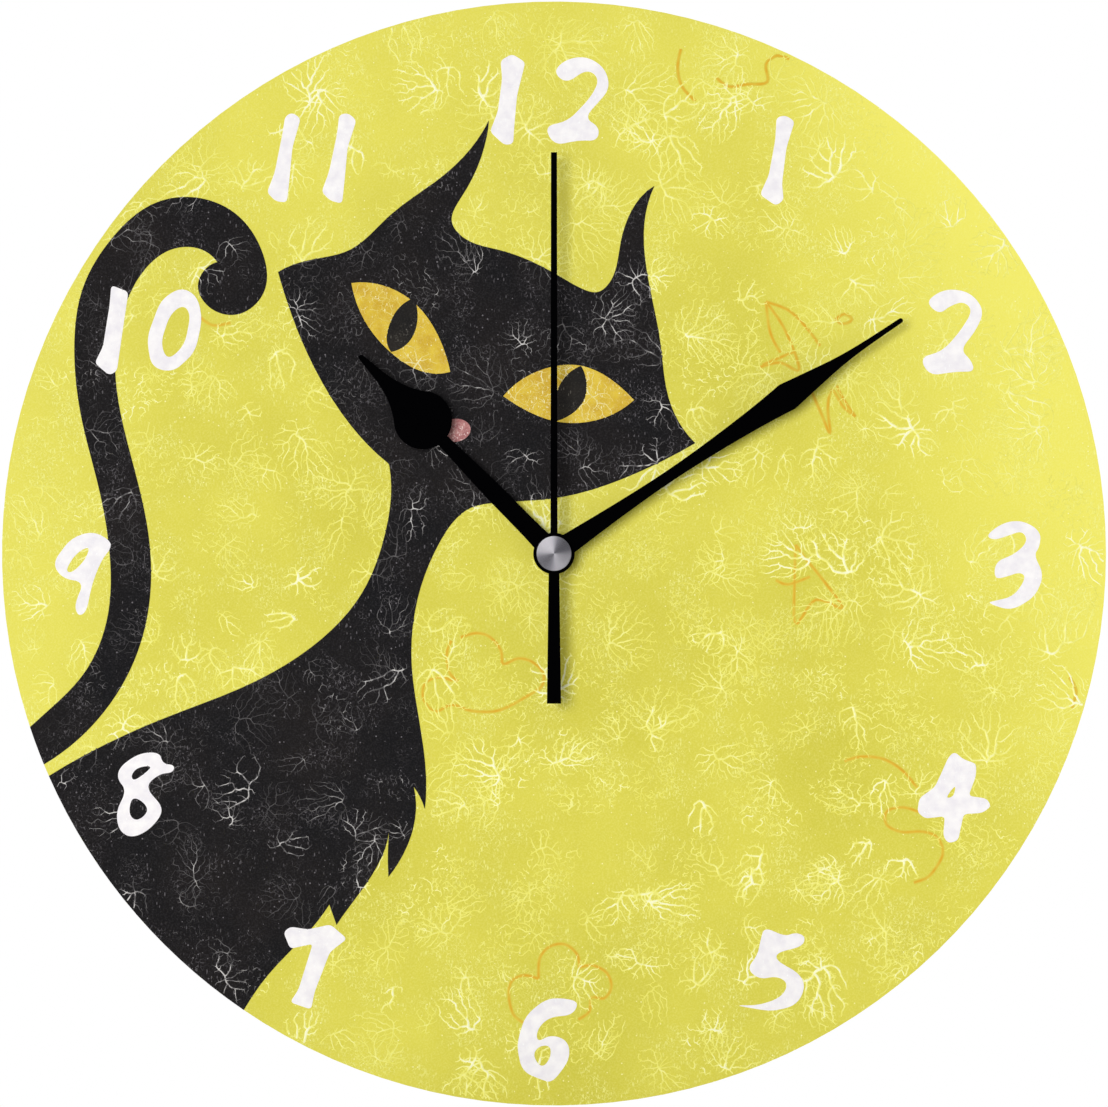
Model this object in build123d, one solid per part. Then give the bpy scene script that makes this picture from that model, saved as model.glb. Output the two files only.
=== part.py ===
"""Round wall clock with a printed cat whose tail curls round the dial, and its quartz movement.

Frame: millimetres, +Z up, +X to the right seen from the front, the dial faces -Y.
The origin is on the hand spindle, in the plane that lies against the wall, so every
piece is placed by its depth: how far in front of the wall it is, which is minus Y.
"""
from build123d import *
from math import acos, atan2, cos, degrees, pi, radians, sin
import os

# ---------------------------------------------------------------- dial and artwork
dial_diameter = 250.0
board_thickness = 5.0
board_edge_round = 0.4
film_thickness = 0.25
ink_thickness = 0.08
dial_hole = 7.6
art = dial_diameter / 200            # the artwork is drawn in hundredths of the dial radius
curve_softness = 2.0                 # how far from a corner a curved brush mark bends, in artwork units
blunt_softness = 0.8                 # the same for a straight mark with blunt ends
brush_straight = 0.1                 # shortest straight stretch kept between two bends

# ---------------------------------------------------------------- hands
hour_hand_length = 62.8
minute_hand_length = 94.9
second_hand_length = 90.6
second_tail_length = 33.9
hour_hand_angle = -44.5              # clockwise from twelve
minute_hand_angle = 56.1
second_hand_angle = 0.0
hand_sheet = 0.4
second_sheet = 0.3
hand_hub = 9.4
cap_diameter = 7.85
cap_height = 1.0
collet_flange = 0.5                  # thickness of the flange behind each hand

# ---------------------------------------------------------------- movement case
case_width = 56.0
case_top = 26.0
gear_room_bottom = -12.3
case_corner = 3.0
side_wall = 1.4
front_wall = 1.2
cover_thickness = 1.5
cover_gap = 0.1
gasket_diameter = 30.0
gasket_thickness = 1.0

# ---------------------------------------------------------------- battery
battery_diameter = 14.2
battery_length = 50.5
battery_nub = 5.5
battery_nub_height = 1.2
sleeve_thickness = 0.15
battery_room = 0.45                  # space between the cell and the walls of its bay
battery_sunk = 0.65                  # how far the cell stays below the back face
contact_sheet = 0.3
contact_width = 9.0
contact_margin = 0.9                 # how far the strips reach past the circuit board behind it
slot_room = 0.2
finger_notch = 18.0                  # notch in the bottom wall for lifting the cell out
finger_notch_depth = 6.9

# ---------------------------------------------------------------- hanger
hanger_width = 18.0
hanger_height = 12.0
hanger_thickness = 2.0
hanger_corner = 4.0
keyhole_radius = 3.5
keyhole_slot = 3.2
keyhole_drop = 4.6                   # from the case top to the middle of the round hole
keyhole_rise = 4.6                   # from the round hole to the end of the slot

# ---------------------------------------------------------------- spindle
second_shaft_diameter = 1.0
minute_pipe_diameter = 3.2
hour_pipe_diameter = 5.0
bush_diameter = 7.0
bush_flange = 10.0
running_clearance = 0.03             # radial, every turning fit
nut_diameter = 9.2
nut_thickness = 1.75
nut_slot = 1.4
washer_thickness = 0.5

# ---------------------------------------------------------------- gear train
wheel_gap = 0.3                      # between neighbouring layers of wheels
fine_wheel = 0.8                     # thickness of a wheel in the going train
hour_wheel_thickness = 0.9
setting_wheel_thickness = 1.1
plate_thickness = 1.0
tooth_play = 0.03
wheel_addendum = 0.95                # tooth height above the pitch circle, in modules
pinion_addendum = 0.65
tooth_floor = 0.3                    # clearance under the mating tooth, in modules

motion_distance = 12.0               # spindle to the setting arbor
motion_direction = 150.0             # degrees from +X towards +Z
knob_direction = 60.0                # setting arbor to the knob
third_distance = 8.5
third_direction = 60.0
intermediate_distance = 7.2
intermediate_direction = -35.0
rotor_distance = 5.6                 # intermediate arbor to the rotor
rotor_direction = -10.0

pivot_diameter = 0.8
post_diameter = 1.0
stud_diameter = 1.6
knob_shaft_diameter = 2.4
knob_diameter = 10.0
knob_height = 2.4
knob_sunk = 0.4                      # how far the knob stays below the back face
knob_room = 0.7
recess_wall = 0.8
knob_grips = 18
mark_depth = 0.2                     # how far the marks on the cover are sunk
mark_width = 0.8
mark_length = 4.0
mark_x = 20.0
mark_z = -8.5
arrow_radius = 8.2                   # of the curved arrow round the knob
arrow_start = 205.0
arrow_end = 325.0

pillar_diameter = 3.6
pin_diameter = 2.0
pin_clearance = 0.05
pillars = [(-9.0, -10.2), (-20.0, 18.0), (14.5, 19.4), (16.2, -10.3)]
plate_left = -22.3
plate_right = 18.2
plate_bottom = -12.0
plate_top = 21.6
plate_corner = 1.7

# ---------------------------------------------------------------- stepping motor
magnet_diameter = 5.6
magnet_bore = 1.6
magnet_height = 2.4
air_gap = 0.3
stator_ring = 9.2
stator_sheet = 0.8
stator_arm = 3.8
stator_post_left = 13.2              # inner edge of the upright arm
coil_x = 22.0
core_width = 3.0
core_bottom = -8.2
core_top = 16.8
bobbin_width = 7.0
bobbin_flange = 1.0
bobbin_wall = 0.4
winding_diameter = 6.2
boss_diameter = 2.4

# ---------------------------------------------------------------- circuit board
circuit_thickness = 1.0
circuit_left = 2.0
circuit_bottom = 8.0
circuit_strip_bottom = 20.6
circuit_edge = 0.2
chip_diameter = 5.2
chip_height = 1.0
crystal_diameter = 2.0
crystal_length = 6.0

# ---------------------------------------------------------------- snap hooks of the cover
hook_width = 5.0
hook_sheet = 1.0
hook_reach = 0.7
hook_back = 2.4
hook_height = 1.3
hook_room = 0.15

# ---------------------------------------------------------------- depths, worked outwards from the wall
inner_front = battery_sunk + battery_diameter + battery_room
case_depth = inner_front + front_wall
board_back = case_depth + gasket_thickness
board_front = board_back + board_thickness
film_front = board_front + film_thickness
ink_front = film_front + ink_thickness
washer_front = film_front + washer_thickness
nut_front = washer_front + nut_thickness
bush_front = nut_front + 0.2
hour_hand_back = bush_front + 0.7
hour_pipe_front = hour_hand_back + 1.1
minute_hand_back = hour_pipe_front + 0.9
minute_pipe_front = minute_hand_back + 1.1
second_hand_back = minute_pipe_front + 0.9
second_hand_front = second_hand_back + second_sheet
shaft_front = second_hand_front + 0.7

hour_wheel_front = inner_front - wheel_gap
hour_wheel_back = hour_wheel_front - hour_wheel_thickness
setting_front = hour_wheel_back - wheel_gap
setting_back = setting_front - setting_wheel_thickness
middle_front = setting_back - wheel_gap
middle_back = middle_front - plate_thickness
centre_front = middle_back - wheel_gap
centre_back = centre_front - fine_wheel
third_front = centre_back - wheel_gap
third_back = third_front - fine_wheel
second_front = third_back - wheel_gap
second_back = second_front - fine_wheel
intermediate_front = second_back - wheel_gap
intermediate_back = intermediate_front - fine_wheel
bridge_front = intermediate_back - wheel_gap
bridge_back = bridge_front - plate_thickness
circuit_front = bridge_back - 0.4
circuit_back = circuit_front - circuit_thickness
contact_back = circuit_back - contact_margin
contact_front = circuit_front + 2 * contact_margin
magnet_front = centre_front - 0.1
magnet_back = magnet_front - magnet_height
stator_front = centre_back
stator_back = stator_front - stator_sheet
core_front = stator_front + stator_sheet
core_depth = (stator_front + core_front) / 2

# ---------------------------------------------------------------- places seen from the front
inner_half = case_width / 2 - side_wall
bay_top = gear_room_bottom - front_wall
bay_bottom = bay_top - battery_diameter - 2 * battery_room
case_bottom = bay_bottom - side_wall
gear_top = case_top - side_wall
battery_depth = inner_front - battery_room - battery_diameter / 2
battery_z = (bay_bottom + bay_top) / 2
battery_tip = inner_half - contact_sheet
battery_end = battery_tip - battery_length
keyhole_z = case_top + keyhole_drop


def along(start, distance, direction):
    """The point a distance away from another, in a direction in degrees."""
    return (start[0] + distance * cos(radians(direction)), start[1] + distance * sin(radians(direction)))


spindle = (0.0, 0.0)
setting_arbor = along(spindle, motion_distance, motion_direction)
knob_arbor = along(setting_arbor, motion_distance, knob_direction)
third_arbor = along(spindle, third_distance, third_direction)
intermediate_arbor = along(spindle, intermediate_distance, intermediate_direction)
rotor_arbor = along(intermediate_arbor, rotor_distance, rotor_direction)


# ================================================================ helpers
def solid(face, back, front):
    """A flat outline given thickness between two depths."""
    return extrude(Plane.XZ.offset(back) * face, amount=front - back)


def rod(diameter, back, front, place=spindle):
    """A round bar that runs along the depth."""
    return solid(Pos(*place) * Circle(diameter / 2), back, front)


def tube(outer, inner, back, front, place=spindle):
    """A round bar with a hole along it."""
    return solid(Pos(*place) * (Circle(outer / 2) - Circle(inner / 2)), back, front)


def slab(left, right, bottom, top, back, front):
    """A square-cornered block given by its six sides."""
    centre = ((left + right) / 2, (bottom + top) / 2)
    return solid(Pos(*centre) * Rectangle(right - left, top - bottom), back, front)


def rounded_slab(left, right, bottom, top, corner, back, front):
    """A block with its four upright corners rounded."""
    centre = ((left + right) / 2, (bottom + top) / 2)
    return solid(Pos(*centre) * RectangleRounded(right - left, top - bottom, corner), back, front)


def outline(*runs):
    """Closed outline in artwork units; each run is smooth and ends where the next one starts."""
    edges = []
    for run, following in zip(runs, runs[1:] + runs[:1]):
        points = [(art * u, art * v) for u, v in run + following[:1]]
        edges.append(Line(*points) if len(points) == 2 else Spline(*points))
    return make_face(edges)


def brush(*points, softness=curve_softness):
    """Closed outline in artwork units with softened corners, like the mark of a loaded brush."""
    corners = [Vector(art * u, art * v) for u, v in points]
    reach = art * softness
    bends = []
    for before, corner, after in zip(corners[-1:] + corners[:-1], corners, corners[1:] + corners[:1]):
        sides = [before - corner, after - corner]
        shares = [reach / side.length if side.length > 2 * reach + brush_straight else 1 / 2
                  for side in sides]
        bends.append(Bezier(corner + sides[0] * shares[0], corner, corner + sides[1] * shares[1]))
    gaps = [(bend @ 1, following @ 0) for bend, following in zip(bends, bends[1:] + bends[:1])]
    return make_face(bends + [Line(*gap) for gap in gaps if (gap[1] - gap[0]).length > brush_straight / 2])


def blunt_brush(*points):
    """The same for a short straight mark, whose ends stay blunt."""
    return brush(*points, softness=blunt_softness)


def write(shape, name):
    """Save one piece under its node name."""
    export_step(shape, os.path.join("parts", name + ".step"))


# ================================================================ gears
def flank_angle(radius, pitch_radius, rolling_radius):
    """Angle by which a cycloidal tooth face has leaned in at a radius above its pitch circle."""
    reach = pitch_radius + rolling_radius
    swing = acos((reach**2 + rolling_radius**2 - radius**2) / (2 * reach * rolling_radius))
    turn = swing * rolling_radius / pitch_radius
    across = reach * sin(turn) - rolling_radius * sin(turn + swing)
    outwards = reach * cos(turn) - rolling_radius * cos(turn + swing)
    return atan2(across, outwards)


def gear(teeth, partner_teeth, distance, phase, place):
    """Clock-train gear: radial flanks below the pitch circle, cycloidal faces above it."""
    module = 2 * distance / (teeth + partner_teeth)
    pitch = teeth * module / 2
    rolling = partner_teeth * module / 4
    mine = wheel_addendum if teeth > partner_teeth else pinion_addendum
    other = pinion_addendum if teeth > partner_teeth else wheel_addendum
    tip = pitch + mine * module
    middle = pitch + mine * module / 2
    root = pitch - (other + tooth_floor) * module
    half = pi / (2 * teeth) - tooth_play / (2 * pitch)
    half_middle = half - flank_angle(middle, pitch, rolling)
    half_tip = half - flank_angle(tip, pitch, rolling)

    def at(radius, angle):
        return (radius * cos(angle), radius * sin(angle))

    edges = []
    for number in range(teeth):
        tooth = radians(phase) + 2 * pi * number / teeth
        following = tooth + 2 * pi / teeth
        edges.append(Line(at(root, tooth - half), at(pitch, tooth - half)))
        edges.append(ThreePointArc(at(pitch, tooth - half), at(middle, tooth - half_middle),
                                   at(tip, tooth - half_tip)))
        edges.append(Line(at(tip, tooth - half_tip), at(tip, tooth + half_tip)))
        edges.append(ThreePointArc(at(tip, tooth + half_tip), at(middle, tooth + half_middle),
                                   at(pitch, tooth + half)))
        edges.append(Line(at(pitch, tooth + half), at(root, tooth + half)))
        edges.append(Line(at(root, tooth + half), at(root, following - half)))
    return Pos(*place) * make_face(edges)


def partner_phase(teeth, phase, place, partner_teeth, partner_place):
    """Turn of the second gear that puts its gaps where the first gear has teeth."""
    line = degrees(atan2(partner_place[1] - place[1], partner_place[0] - place[0]))
    shift = (phase - line) * teeth + 180
    return line + 180 - shift / partner_teeth


# ================================================================ dial
def dial_board():
    """The flat board, with a softened rear rim and a hole for the spindle bush."""
    board = rod(dial_diameter, board_back, board_front)
    board = fillet(board.edges().filter_by(GeomType.CIRCLE).sort_by(Axis.Y)[-1], board_edge_round)
    return board - rod(dial_hole, board_back, board_front)


def dial_print_film():
    """The printed sheet laid over the front of the board."""
    return tube(dial_diameter, dial_hole, board_front, film_front)


def printed(face):
    """Ink lying on the film, cut off at the edge of the dial."""
    return solid(face & Circle(dial_diameter / 2), film_front, ink_front)


def cat_body_outline():
    """Head with two tall pointed ears, a narrow neck, and a back that runs off the dial."""
    left_ear = [(-50, 51), (-45, 53), (-37, 55), (-30, 61), (-20, 68.5), (-13.5, 75.5)]
    brow = [(-11.8, 78.5), (-12.3, 75), (-16.5, 65), (-18.5, 60), (-16.5, 57.3), (-10, 55), (0, 50.8),
            (5, 48), (8, 47.4), (10, 49), (12, 56), (14, 62)]
    right_ear = [(18.2, 66.6), (16.3, 59), (17, 50), (19.3, 38), (20.2, 30.6)]
    chin_and_chest = [(25.6, 20), (15, 14.6), (0, 10), (-10.5, 9.2), (-15, 8.3), (-21, 1.5), (-25, -9.5),
                      (-25.8, -20), (-24.3, -31), (-23.2, -40)]
    first_tuft = [(-23.4, -46.3), (-24.6, -43.5)]
    second_tuft = [(-25.4, -42.3), (-25, -46), (-25.7, -50.5)]
    second_gap = [(-30, -58.6), (-30.1, -55)]
    third_tuft = [(-29.9, -50.5), (-30.8, -54), (-34, -59.8)]
    third_gap = [(-39.4, -67.3)]
    belly = [(-40.7, -63.6), (-44, -68), (-52.5, -77.2), (-55.9, -82.2)]
    outside = [(-60, -90)]
    beyond = [(-104, -60)]
    back = [(-98, -44.9), (-85, -36.5), (-70, -29.6), (-55, -23.6), (-44, -17), (-35, -7.5), (-30.5, 4),
            (-29.5, 11)]
    cheek = [(-29.9, 16.2), (-34.5, 20.5), (-42, 31), (-46.5, 40.5)]
    return outline(left_ear, brow, right_ear, chin_and_chest, first_tuft, second_tuft, second_gap,
                   third_tuft, third_gap, belly, outside, beyond, back, cheek)


def cat_tail_outline():
    """The tail, which climbs the left of the dial and curls over into a hook."""
    outer = [(-99, -35.5), (-92, -28.8), (-85, -21.5), (-80.8, -11), (-80.5, 0), (-82.5, 12), (-85.5, 24),
             (-86.9, 37), (-85.2, 48.5), (-80, 57.2), (-72, 63.6), (-65, 64.5), (-58, 61.8), (-53, 55),
             (-52.5, 47.5), (-57, 43.4), (-62, 44.3), (-64.5, 48.6), (-62.5, 52.1)]
    inner = [(-61, 52.8), (-65, 55.4), (-69.5, 55), (-74.5, 51), (-78, 44), (-79.5, 34), (-77, 19),
             (-73.7, 5), (-73.2, -8), (-76.3, -20), (-83.5, -31)]
    end = [(-97, -40.5)]
    return outline(outer, inner, end)


def eye_outlines():
    """Two almond eyes; each has a corner at both ends."""
    left = outline([(-36.7, 49), (-33, 49), (-26, 46), (-21, 39.5)],
                   [(-18.8, 32.9), (-22, 32.6), (-30, 36.8), (-35, 43.5)])
    right = outline([(-9.2, 28.5), (-2.5, 33.2), (5, 34), (12.5, 29.8)],
                    [(14.5, 27.8), (7, 24), (0, 24), (-4, 25.4)])
    return left + right


def pupil_outlines():
    """Slit pupils that cross the eyes from lid to lid."""
    left = outline([(-25.3, 46.3), (-24.7, 43), (-25.5, 39.5)],
                   [(-29.5, 36.5), (-30.3, 38.5), (-29.8, 41.5), (-28.5, 44)])
    right = outline([(4.9, 34), (5.9, 31), (5.3, 27.5), (3.5, 25.5)],
                    [(0.5, 24), (0.2, 26), (0.8, 30), (2.5, 32.5)])
    return (left + right) & eye_outlines()


def tongue_outline():
    """The small pink tip under the muzzle."""
    return Pos(-18 * art, 22.3 * art) * Rot(0, 0, 8) * Ellipse(2.9 * art, 2.1 * art)


def numeral_outlines():
    """Twelve loose brush-painted numerals, each leaning a little to the right."""
    one = blunt_brush((40.3, 79), (41.9, 79.4), (43.6, 78.3), (42.1, 73.5), (41.3, 67), (41.6, 64),
                      (40.2, 63), (37.3, 65), (38.9, 68.5), (40.1, 75))
    two = brush((67.4, 45.4), (69.3, 47.2), (72, 48), (75.6, 47.2), (78, 44), (76.4, 40.3), (73.6, 36.9),
                (75.6, 35), (76.2, 32.9), (73, 33), (68, 32.2), (66.2, 35.5), (70.3, 36.6), (73.4, 40),
                (75.9, 44), (74.2, 45.7), (71.8, 44.9), (69.8, 43.3))
    three = brush((78.2, 3.3), (81.5, 5.7), (85, 6), (88.2, 4), (88, 1.2), (86.9, -0.3), (88.8, -3.8),
                  (87.2, -7.8), (82.8, -10.4), (78.3, -8.9), (80.3, -8.5), (83.4, -7.7), (85.6, -4.3),
                  (84.3, -3.3), (81.5, -4.4), (79.7, -4.5), (80, -1.4), (83.4, -0.2), (85.9, 2.2),
                  (84.8, 4.2), (82, 3.1), (79.6, 2.4))
    four = blunt_brush((71.5, -36.8), (72.6, -35.9), (74, -37.2), (76.5, -38.1), (76.4, -40.4),
                       (75.1, -43.9), (78.4, -44.4), (79.2, -45.8), (77.6, -47), (74.2, -47.2),
                       (73.2, -52), (71.4, -52.5), (70.5, -51.2), (70.8, -47.6), (67.2, -48),
                       (65.8, -46.8), (66.2, -44.3), (69, -42.3), (70.3, -39.5))
    four_eye = blunt_brush((71, -44.4), (72.4, -44), (72.8, -42), (71.8, -43))
    five = brush((38.1, -67.6), (41.8, -69.4), (43.8, -68.6), (45.6, -69.4), (45, -71.2), (40.3, -72.3),
                 (40.3, -73.8), (44.4, -76), (45.6, -78.5), (44, -81.8), (39.5, -83), (32.6, -81.8),
                 (37, -81.9), (41.2, -80.4), (42.5, -77.9), (40.4, -76.5), (37.2, -77.2), (34.9, -75.2),
                 (36.9, -72.8), (37.4, -70))
    six = brush((4.6, -81.2), (1.5, -80.5), (-1.5, -80.7), (-5.2, -83.7), (-6.8, -89), (-5.8, -93.8),
                (-2.4, -95.3), (-0.3, -95.9), (2.9, -91.6), (2.6, -88.3), (-0.5, -87.1), (-3.1, -88.6),
                (-3.1, -86.2), (-0.8, -83.9), (3.3, -83.7))
    six_eye = brush((-3.9, -91), (-2.8, -89.2), (-0.6, -89.1), (-0.6, -91.4), (-2.2, -93.3))
    seven = blunt_brush((-49, -68.6), (-47.8, -67.6), (-44.5, -68.1), (-40.5, -67.2), (-37.5, -69.8),
                        (-40.6, -72.2), (-43.4, -79.5), (-44, -82.6), (-47.8, -81.3), (-46.3, -79),
                        (-43.7, -70.7), (-47.8, -71.6))
    eight = brush((-71.4, -36), (-75, -36.1), (-78.6, -38.5), (-79.2, -40.8), (-77.4, -42.9),
                  (-79.4, -46.8), (-78.8, -50.3), (-76.4, -51.6), (-73, -49.9), (-70.5, -46.4),
                  (-74.1, -42.2), (-71.5, -39.9), (-69, -39.7), (-68.7, -38.3), (-70.9, -38.1))
    eight_eyes = (brush((-76.7, -40.3), (-75.5, -38.7), (-72.4, -38.4), (-76, -41.3))
                  + brush((-76.5, -44), (-74.3, -45), (-73.4, -46.8), (-75.6, -48.6), (-77.1, -47.2)))
    nine = brush((-80.3, 2.3), (-83.5, 4.1), (-87.5, 2.8), (-90.9, -1.8), (-89, -4.6), (-85.1, -5.1),
                 (-86.9, -9.3), (-86.2, -11.4), (-84.7, -10.6), (-83.7, -5.5), (-81.9, -1), (-80.3, 0.8))
    nine_eye = brush((-88.6, -3.2), (-86.6, 0.1), (-84, 1.4), (-84.8, -1), (-87.2, -3.5))
    ten_one = blunt_brush((-80.2, 48.6), (-77.1, 47.4), (-78.2, 40), (-79.2, 33), (-80.6, 32.3),
                          (-83.2, 34.5), (-81.7, 37.5), (-80.5, 45))
    ten_nought = brush((-67.5, 48.3), (-64.6, 46.6), (-63.7, 42.5), (-65, 36.5), (-69, 32.8), (-72.9, 33.7),
                       (-73.8, 39), (-71.2, 46))
    ten_eye = brush((-67.2, 45.1), (-65.8, 43.4), (-66.9, 37.7), (-70, 34.9), (-71.3, 38), (-69.6, 43.3))
    eleven_first = blunt_brush((-48.7, 79.2), (-47.4, 79.9), (-45.9, 78.8), (-47.4, 73.5), (-48, 67),
                               (-48.4, 63.6), (-50.4, 63.8), (-52, 65.4), (-50.6, 69), (-49.2, 76))
    eleven_last = blunt_brush((-38.9, 79.5), (-37.3, 79.8), (-35.8, 78.5), (-37.4, 73.5), (-38, 67),
                              (-38.4, 63.4), (-40.5, 63.9), (-42.1, 65.5), (-40.8, 69), (-39.3, 76))
    twelve_one = blunt_brush((-9.7, 89.3), (-7.6, 90.5), (-5.2, 89), (-6.7, 83), (-7.2, 77.5), (-7.4, 74.2),
                             (-9, 74), (-11.6, 76.4), (-10.2, 80), (-9.4, 86))
    twelve_two = brush((-0.2, 87.3), (2.2, 89.6), (6, 90.1), (9.3, 87.9), (10.2, 84.2), (5.5, 78.9),
                       (8.3, 77.2), (7.8, 74.7), (4.5, 74.9), (0, 73.9), (-1.8, 77.4), (2.5, 78.3),
                       (6.8, 82.8), (8.3, 86), (6, 87.8), (2.2, 85.1))
    strokes = [one, two, three, four - four_eye, five, six - six_eye, seven, eight - eight_eyes,
               nine - nine_eye, ten_one, ten_nought - ten_eye, eleven_first, eleven_last, twelve_one,
               twelve_two]
    return Sketch() + strokes


def dial_gasket():
    """Soft ring between the movement and the back of the board."""
    return tube(gasket_diameter, dial_hole, case_depth, board_back)


def dial_washer():
    """Thin washer that keeps the nut off the print."""
    return tube(nut_diameter, bush_diameter, film_front, washer_front)


def ring_nut():
    """Round nut that clamps the board, with two slots across its face for a key."""
    nut = tube(nut_diameter, bush_diameter, washer_front, nut_front)
    slot = slab(-nut_diameter, nut_diameter, -nut_slot / 2, nut_slot / 2, nut_front - nut_slot / 2,
                nut_front)
    return nut - slot


# ================================================================ movement case
def gear_room(gap, back, front):
    """The space for the gears, made smaller all round by a gap."""
    return slab(-inner_half + gap, inner_half - gap, gear_room_bottom + gap, gear_top - gap, back, front)


hook_places = [(-16.0, gear_top, 1), (8.0, gear_top, 1), (-14.0, gear_room_bottom, -1),
               (10.0, gear_room_bottom, -1)]


def hook_window(place, room):
    """The block a cover hook reaches into, with some room round it."""
    x, wall, side = place
    near = wall - side * cover_gap
    far = near + side * (hook_reach + room)
    half = hook_width / 2 + room
    return slab(x - half, x + half, min(near, far), max(near, far), hook_back - room,
                hook_back + hook_height + room)


def front_case():
    """Moulded tray with the gear room above and the battery bay below."""
    half = case_width / 2
    case = rounded_slab(-half, half, case_bottom, case_top, case_corner, 0, case_depth)
    case -= gear_room(0, 0, inner_front)
    case -= slab(-inner_half, inner_half, bay_bottom, bay_top, 0, inner_front)
    case -= rod(bush_flange, inner_front, case_depth)
    case -= rounded_slab(-finger_notch / 2, finger_notch / 2, case_bottom - case_corner,
                         bay_bottom + case_corner, case_corner, 0, finger_notch_depth)
    for side in (-1, 1):
        edge = side * inner_half
        inwards = edge - side * (contact_sheet + slot_room)
        case -= slab(min(edge, inwards), max(edge, inwards), bay_top, gear_room_bottom,
                     contact_back - slot_room, contact_front + slot_room)
    for place in hook_places:
        case -= hook_window(place, hook_room)
    for place in pillars:
        case += rod(pillar_diameter, middle_front, inner_front, place)
        case += rod(pin_diameter, bridge_back, middle_front, place)
    return case - hanger_foot()


def hanger_foot():
    """The part of the hanging tab that sits in a notch in the top wall of the case."""
    half = hanger_width / 2
    return slab(-half, half, gear_top, case_top, 0, hanger_thickness)


def hanger_plate():
    """Hanging tab with rounded top corners and a keyhole, pressed into the top wall of the case."""
    half = hanger_width / 2
    top = case_top + hanger_height
    tab = slab(-half, half, case_top, top - hanger_corner, 0, hanger_thickness)
    tab += rounded_slab(-half, half, case_top, top, hanger_corner, 0, hanger_thickness)
    return tab + hanger_foot() - keyhole()


def keyhole():
    """Round hole for a screw head with a narrower slot above it for the shank."""
    top = keyhole_z + keyhole_rise
    shape = rod(2 * keyhole_radius, 0, hanger_thickness, (0, keyhole_z))
    shape += slab(-keyhole_slot / 2, keyhole_slot / 2, keyhole_z, top, 0, hanger_thickness)
    return shape + rod(keyhole_slot, 0, hanger_thickness, (0, top))


def threaded_bush():
    """Metal bush held in the front wall; it carries the whole clock on the board."""
    bush = rod(bush_flange, inner_front, case_depth) + rod(bush_diameter, case_depth, bush_front)
    return bush - rod(hour_pipe_diameter + 2 * running_clearance, inner_front, bush_front)


def rear_cover():
    """Snap-in lid over the gears, with a sunk cup for the setting knob."""
    cover = gear_room(cover_gap, 0, cover_thickness)
    cup_bore = knob_diameter + 2 * knob_room
    cup_floor = knob_sunk + knob_height + 0.2
    cup_bottom = cup_floor + recess_wall
    cover += rod(cup_bore + 2 * recess_wall, 0, cup_bottom, knob_arbor)
    cover -= rod(cup_bore, 0, cup_floor, knob_arbor)
    cover -= rod(knob_shaft_diameter + 2 * running_clearance, 0, cup_bottom, knob_arbor)
    for place in pillars:
        cover += rod(pillar_diameter, cover_thickness, bridge_back, place)
    for place in hook_places:
        x, wall, side = place
        outer = wall - side * cover_gap
        inner = outer - side * hook_sheet
        cover += slab(x - hook_width / 2, x + hook_width / 2, min(outer, inner), max(outer, inner),
                      cover_thickness, hook_back + hook_height)
        cover += hook_window(place, 0)
    return cover - polarity_marks() - setting_arrow()


def polarity_marks():
    """Sunk plus and minus above the two ends of the battery bay."""
    length, width = mark_length / 2, mark_width / 2
    marks = slab(mark_x - length, mark_x + length, mark_z - width, mark_z + width, 0, mark_depth)
    marks += slab(mark_x - width, mark_x + width, mark_z - length, mark_z + length, 0, mark_depth)
    return marks + slab(-mark_x - length, -mark_x + length, mark_z - width, mark_z + width, 0, mark_depth)


def setting_arrow():
    """Sunk curved arrow below the knob, for the way it is turned."""
    half = mark_width / 2
    turn = (arrow_start + arrow_end) / 2
    angles = (arrow_start, turn, arrow_end)
    inner = ThreePointArc(*[along(spindle, arrow_radius - half, angle) for angle in angles])
    outer = ThreePointArc(*[along(spindle, arrow_radius + half, angle) for angle in angles])
    shaft = make_face([inner, outer, Line(inner @ 0, outer @ 0), Line(inner @ 1, outer @ 1)])
    tip = along(along(spindle, arrow_radius, arrow_end), 3 * mark_width, arrow_end + 90)
    sides = [along(spindle, arrow_radius + side * 3 * half, arrow_end) for side in (-1, 1)]
    head = make_face(Polyline(tip, *sides, close=True))
    return solid(Pos(*knob_arbor) * (shaft + head), 0, mark_depth)


def train_plate(back, front, pin_hole):
    """Flat moulded plate with rounded corners and a hole for each case pin."""
    plate = rounded_slab(plate_left, plate_right, plate_bottom, plate_top, plate_corner, back, front)
    for place in pillars:
        plate -= rod(pin_hole, back, front, place)
    return plate


def middle_plate():
    """Plate between the motion work and the going train; it also carries the setting stud."""
    pin_hole = pin_diameter + 2 * pin_clearance
    plate = train_plate(middle_back, middle_front, pin_hole)
    plate -= rod(minute_pipe_diameter + 2 * running_clearance, middle_back, middle_front)
    plate -= rod(pivot_diameter + 2 * running_clearance, middle_back, middle_front, third_arbor)
    plate -= rod(pivot_diameter + 2 * running_clearance, middle_back, middle_front, rotor_arbor)
    plate -= rod(knob_shaft_diameter + 2 * running_clearance, middle_back, middle_front, knob_arbor)
    plate += rod(stud_diameter, middle_front, hour_wheel_front, setting_arbor)
    for place in stator_bosses():
        plate += rod(boss_diameter, stator_front, middle_back, place)
    return plate


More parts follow.
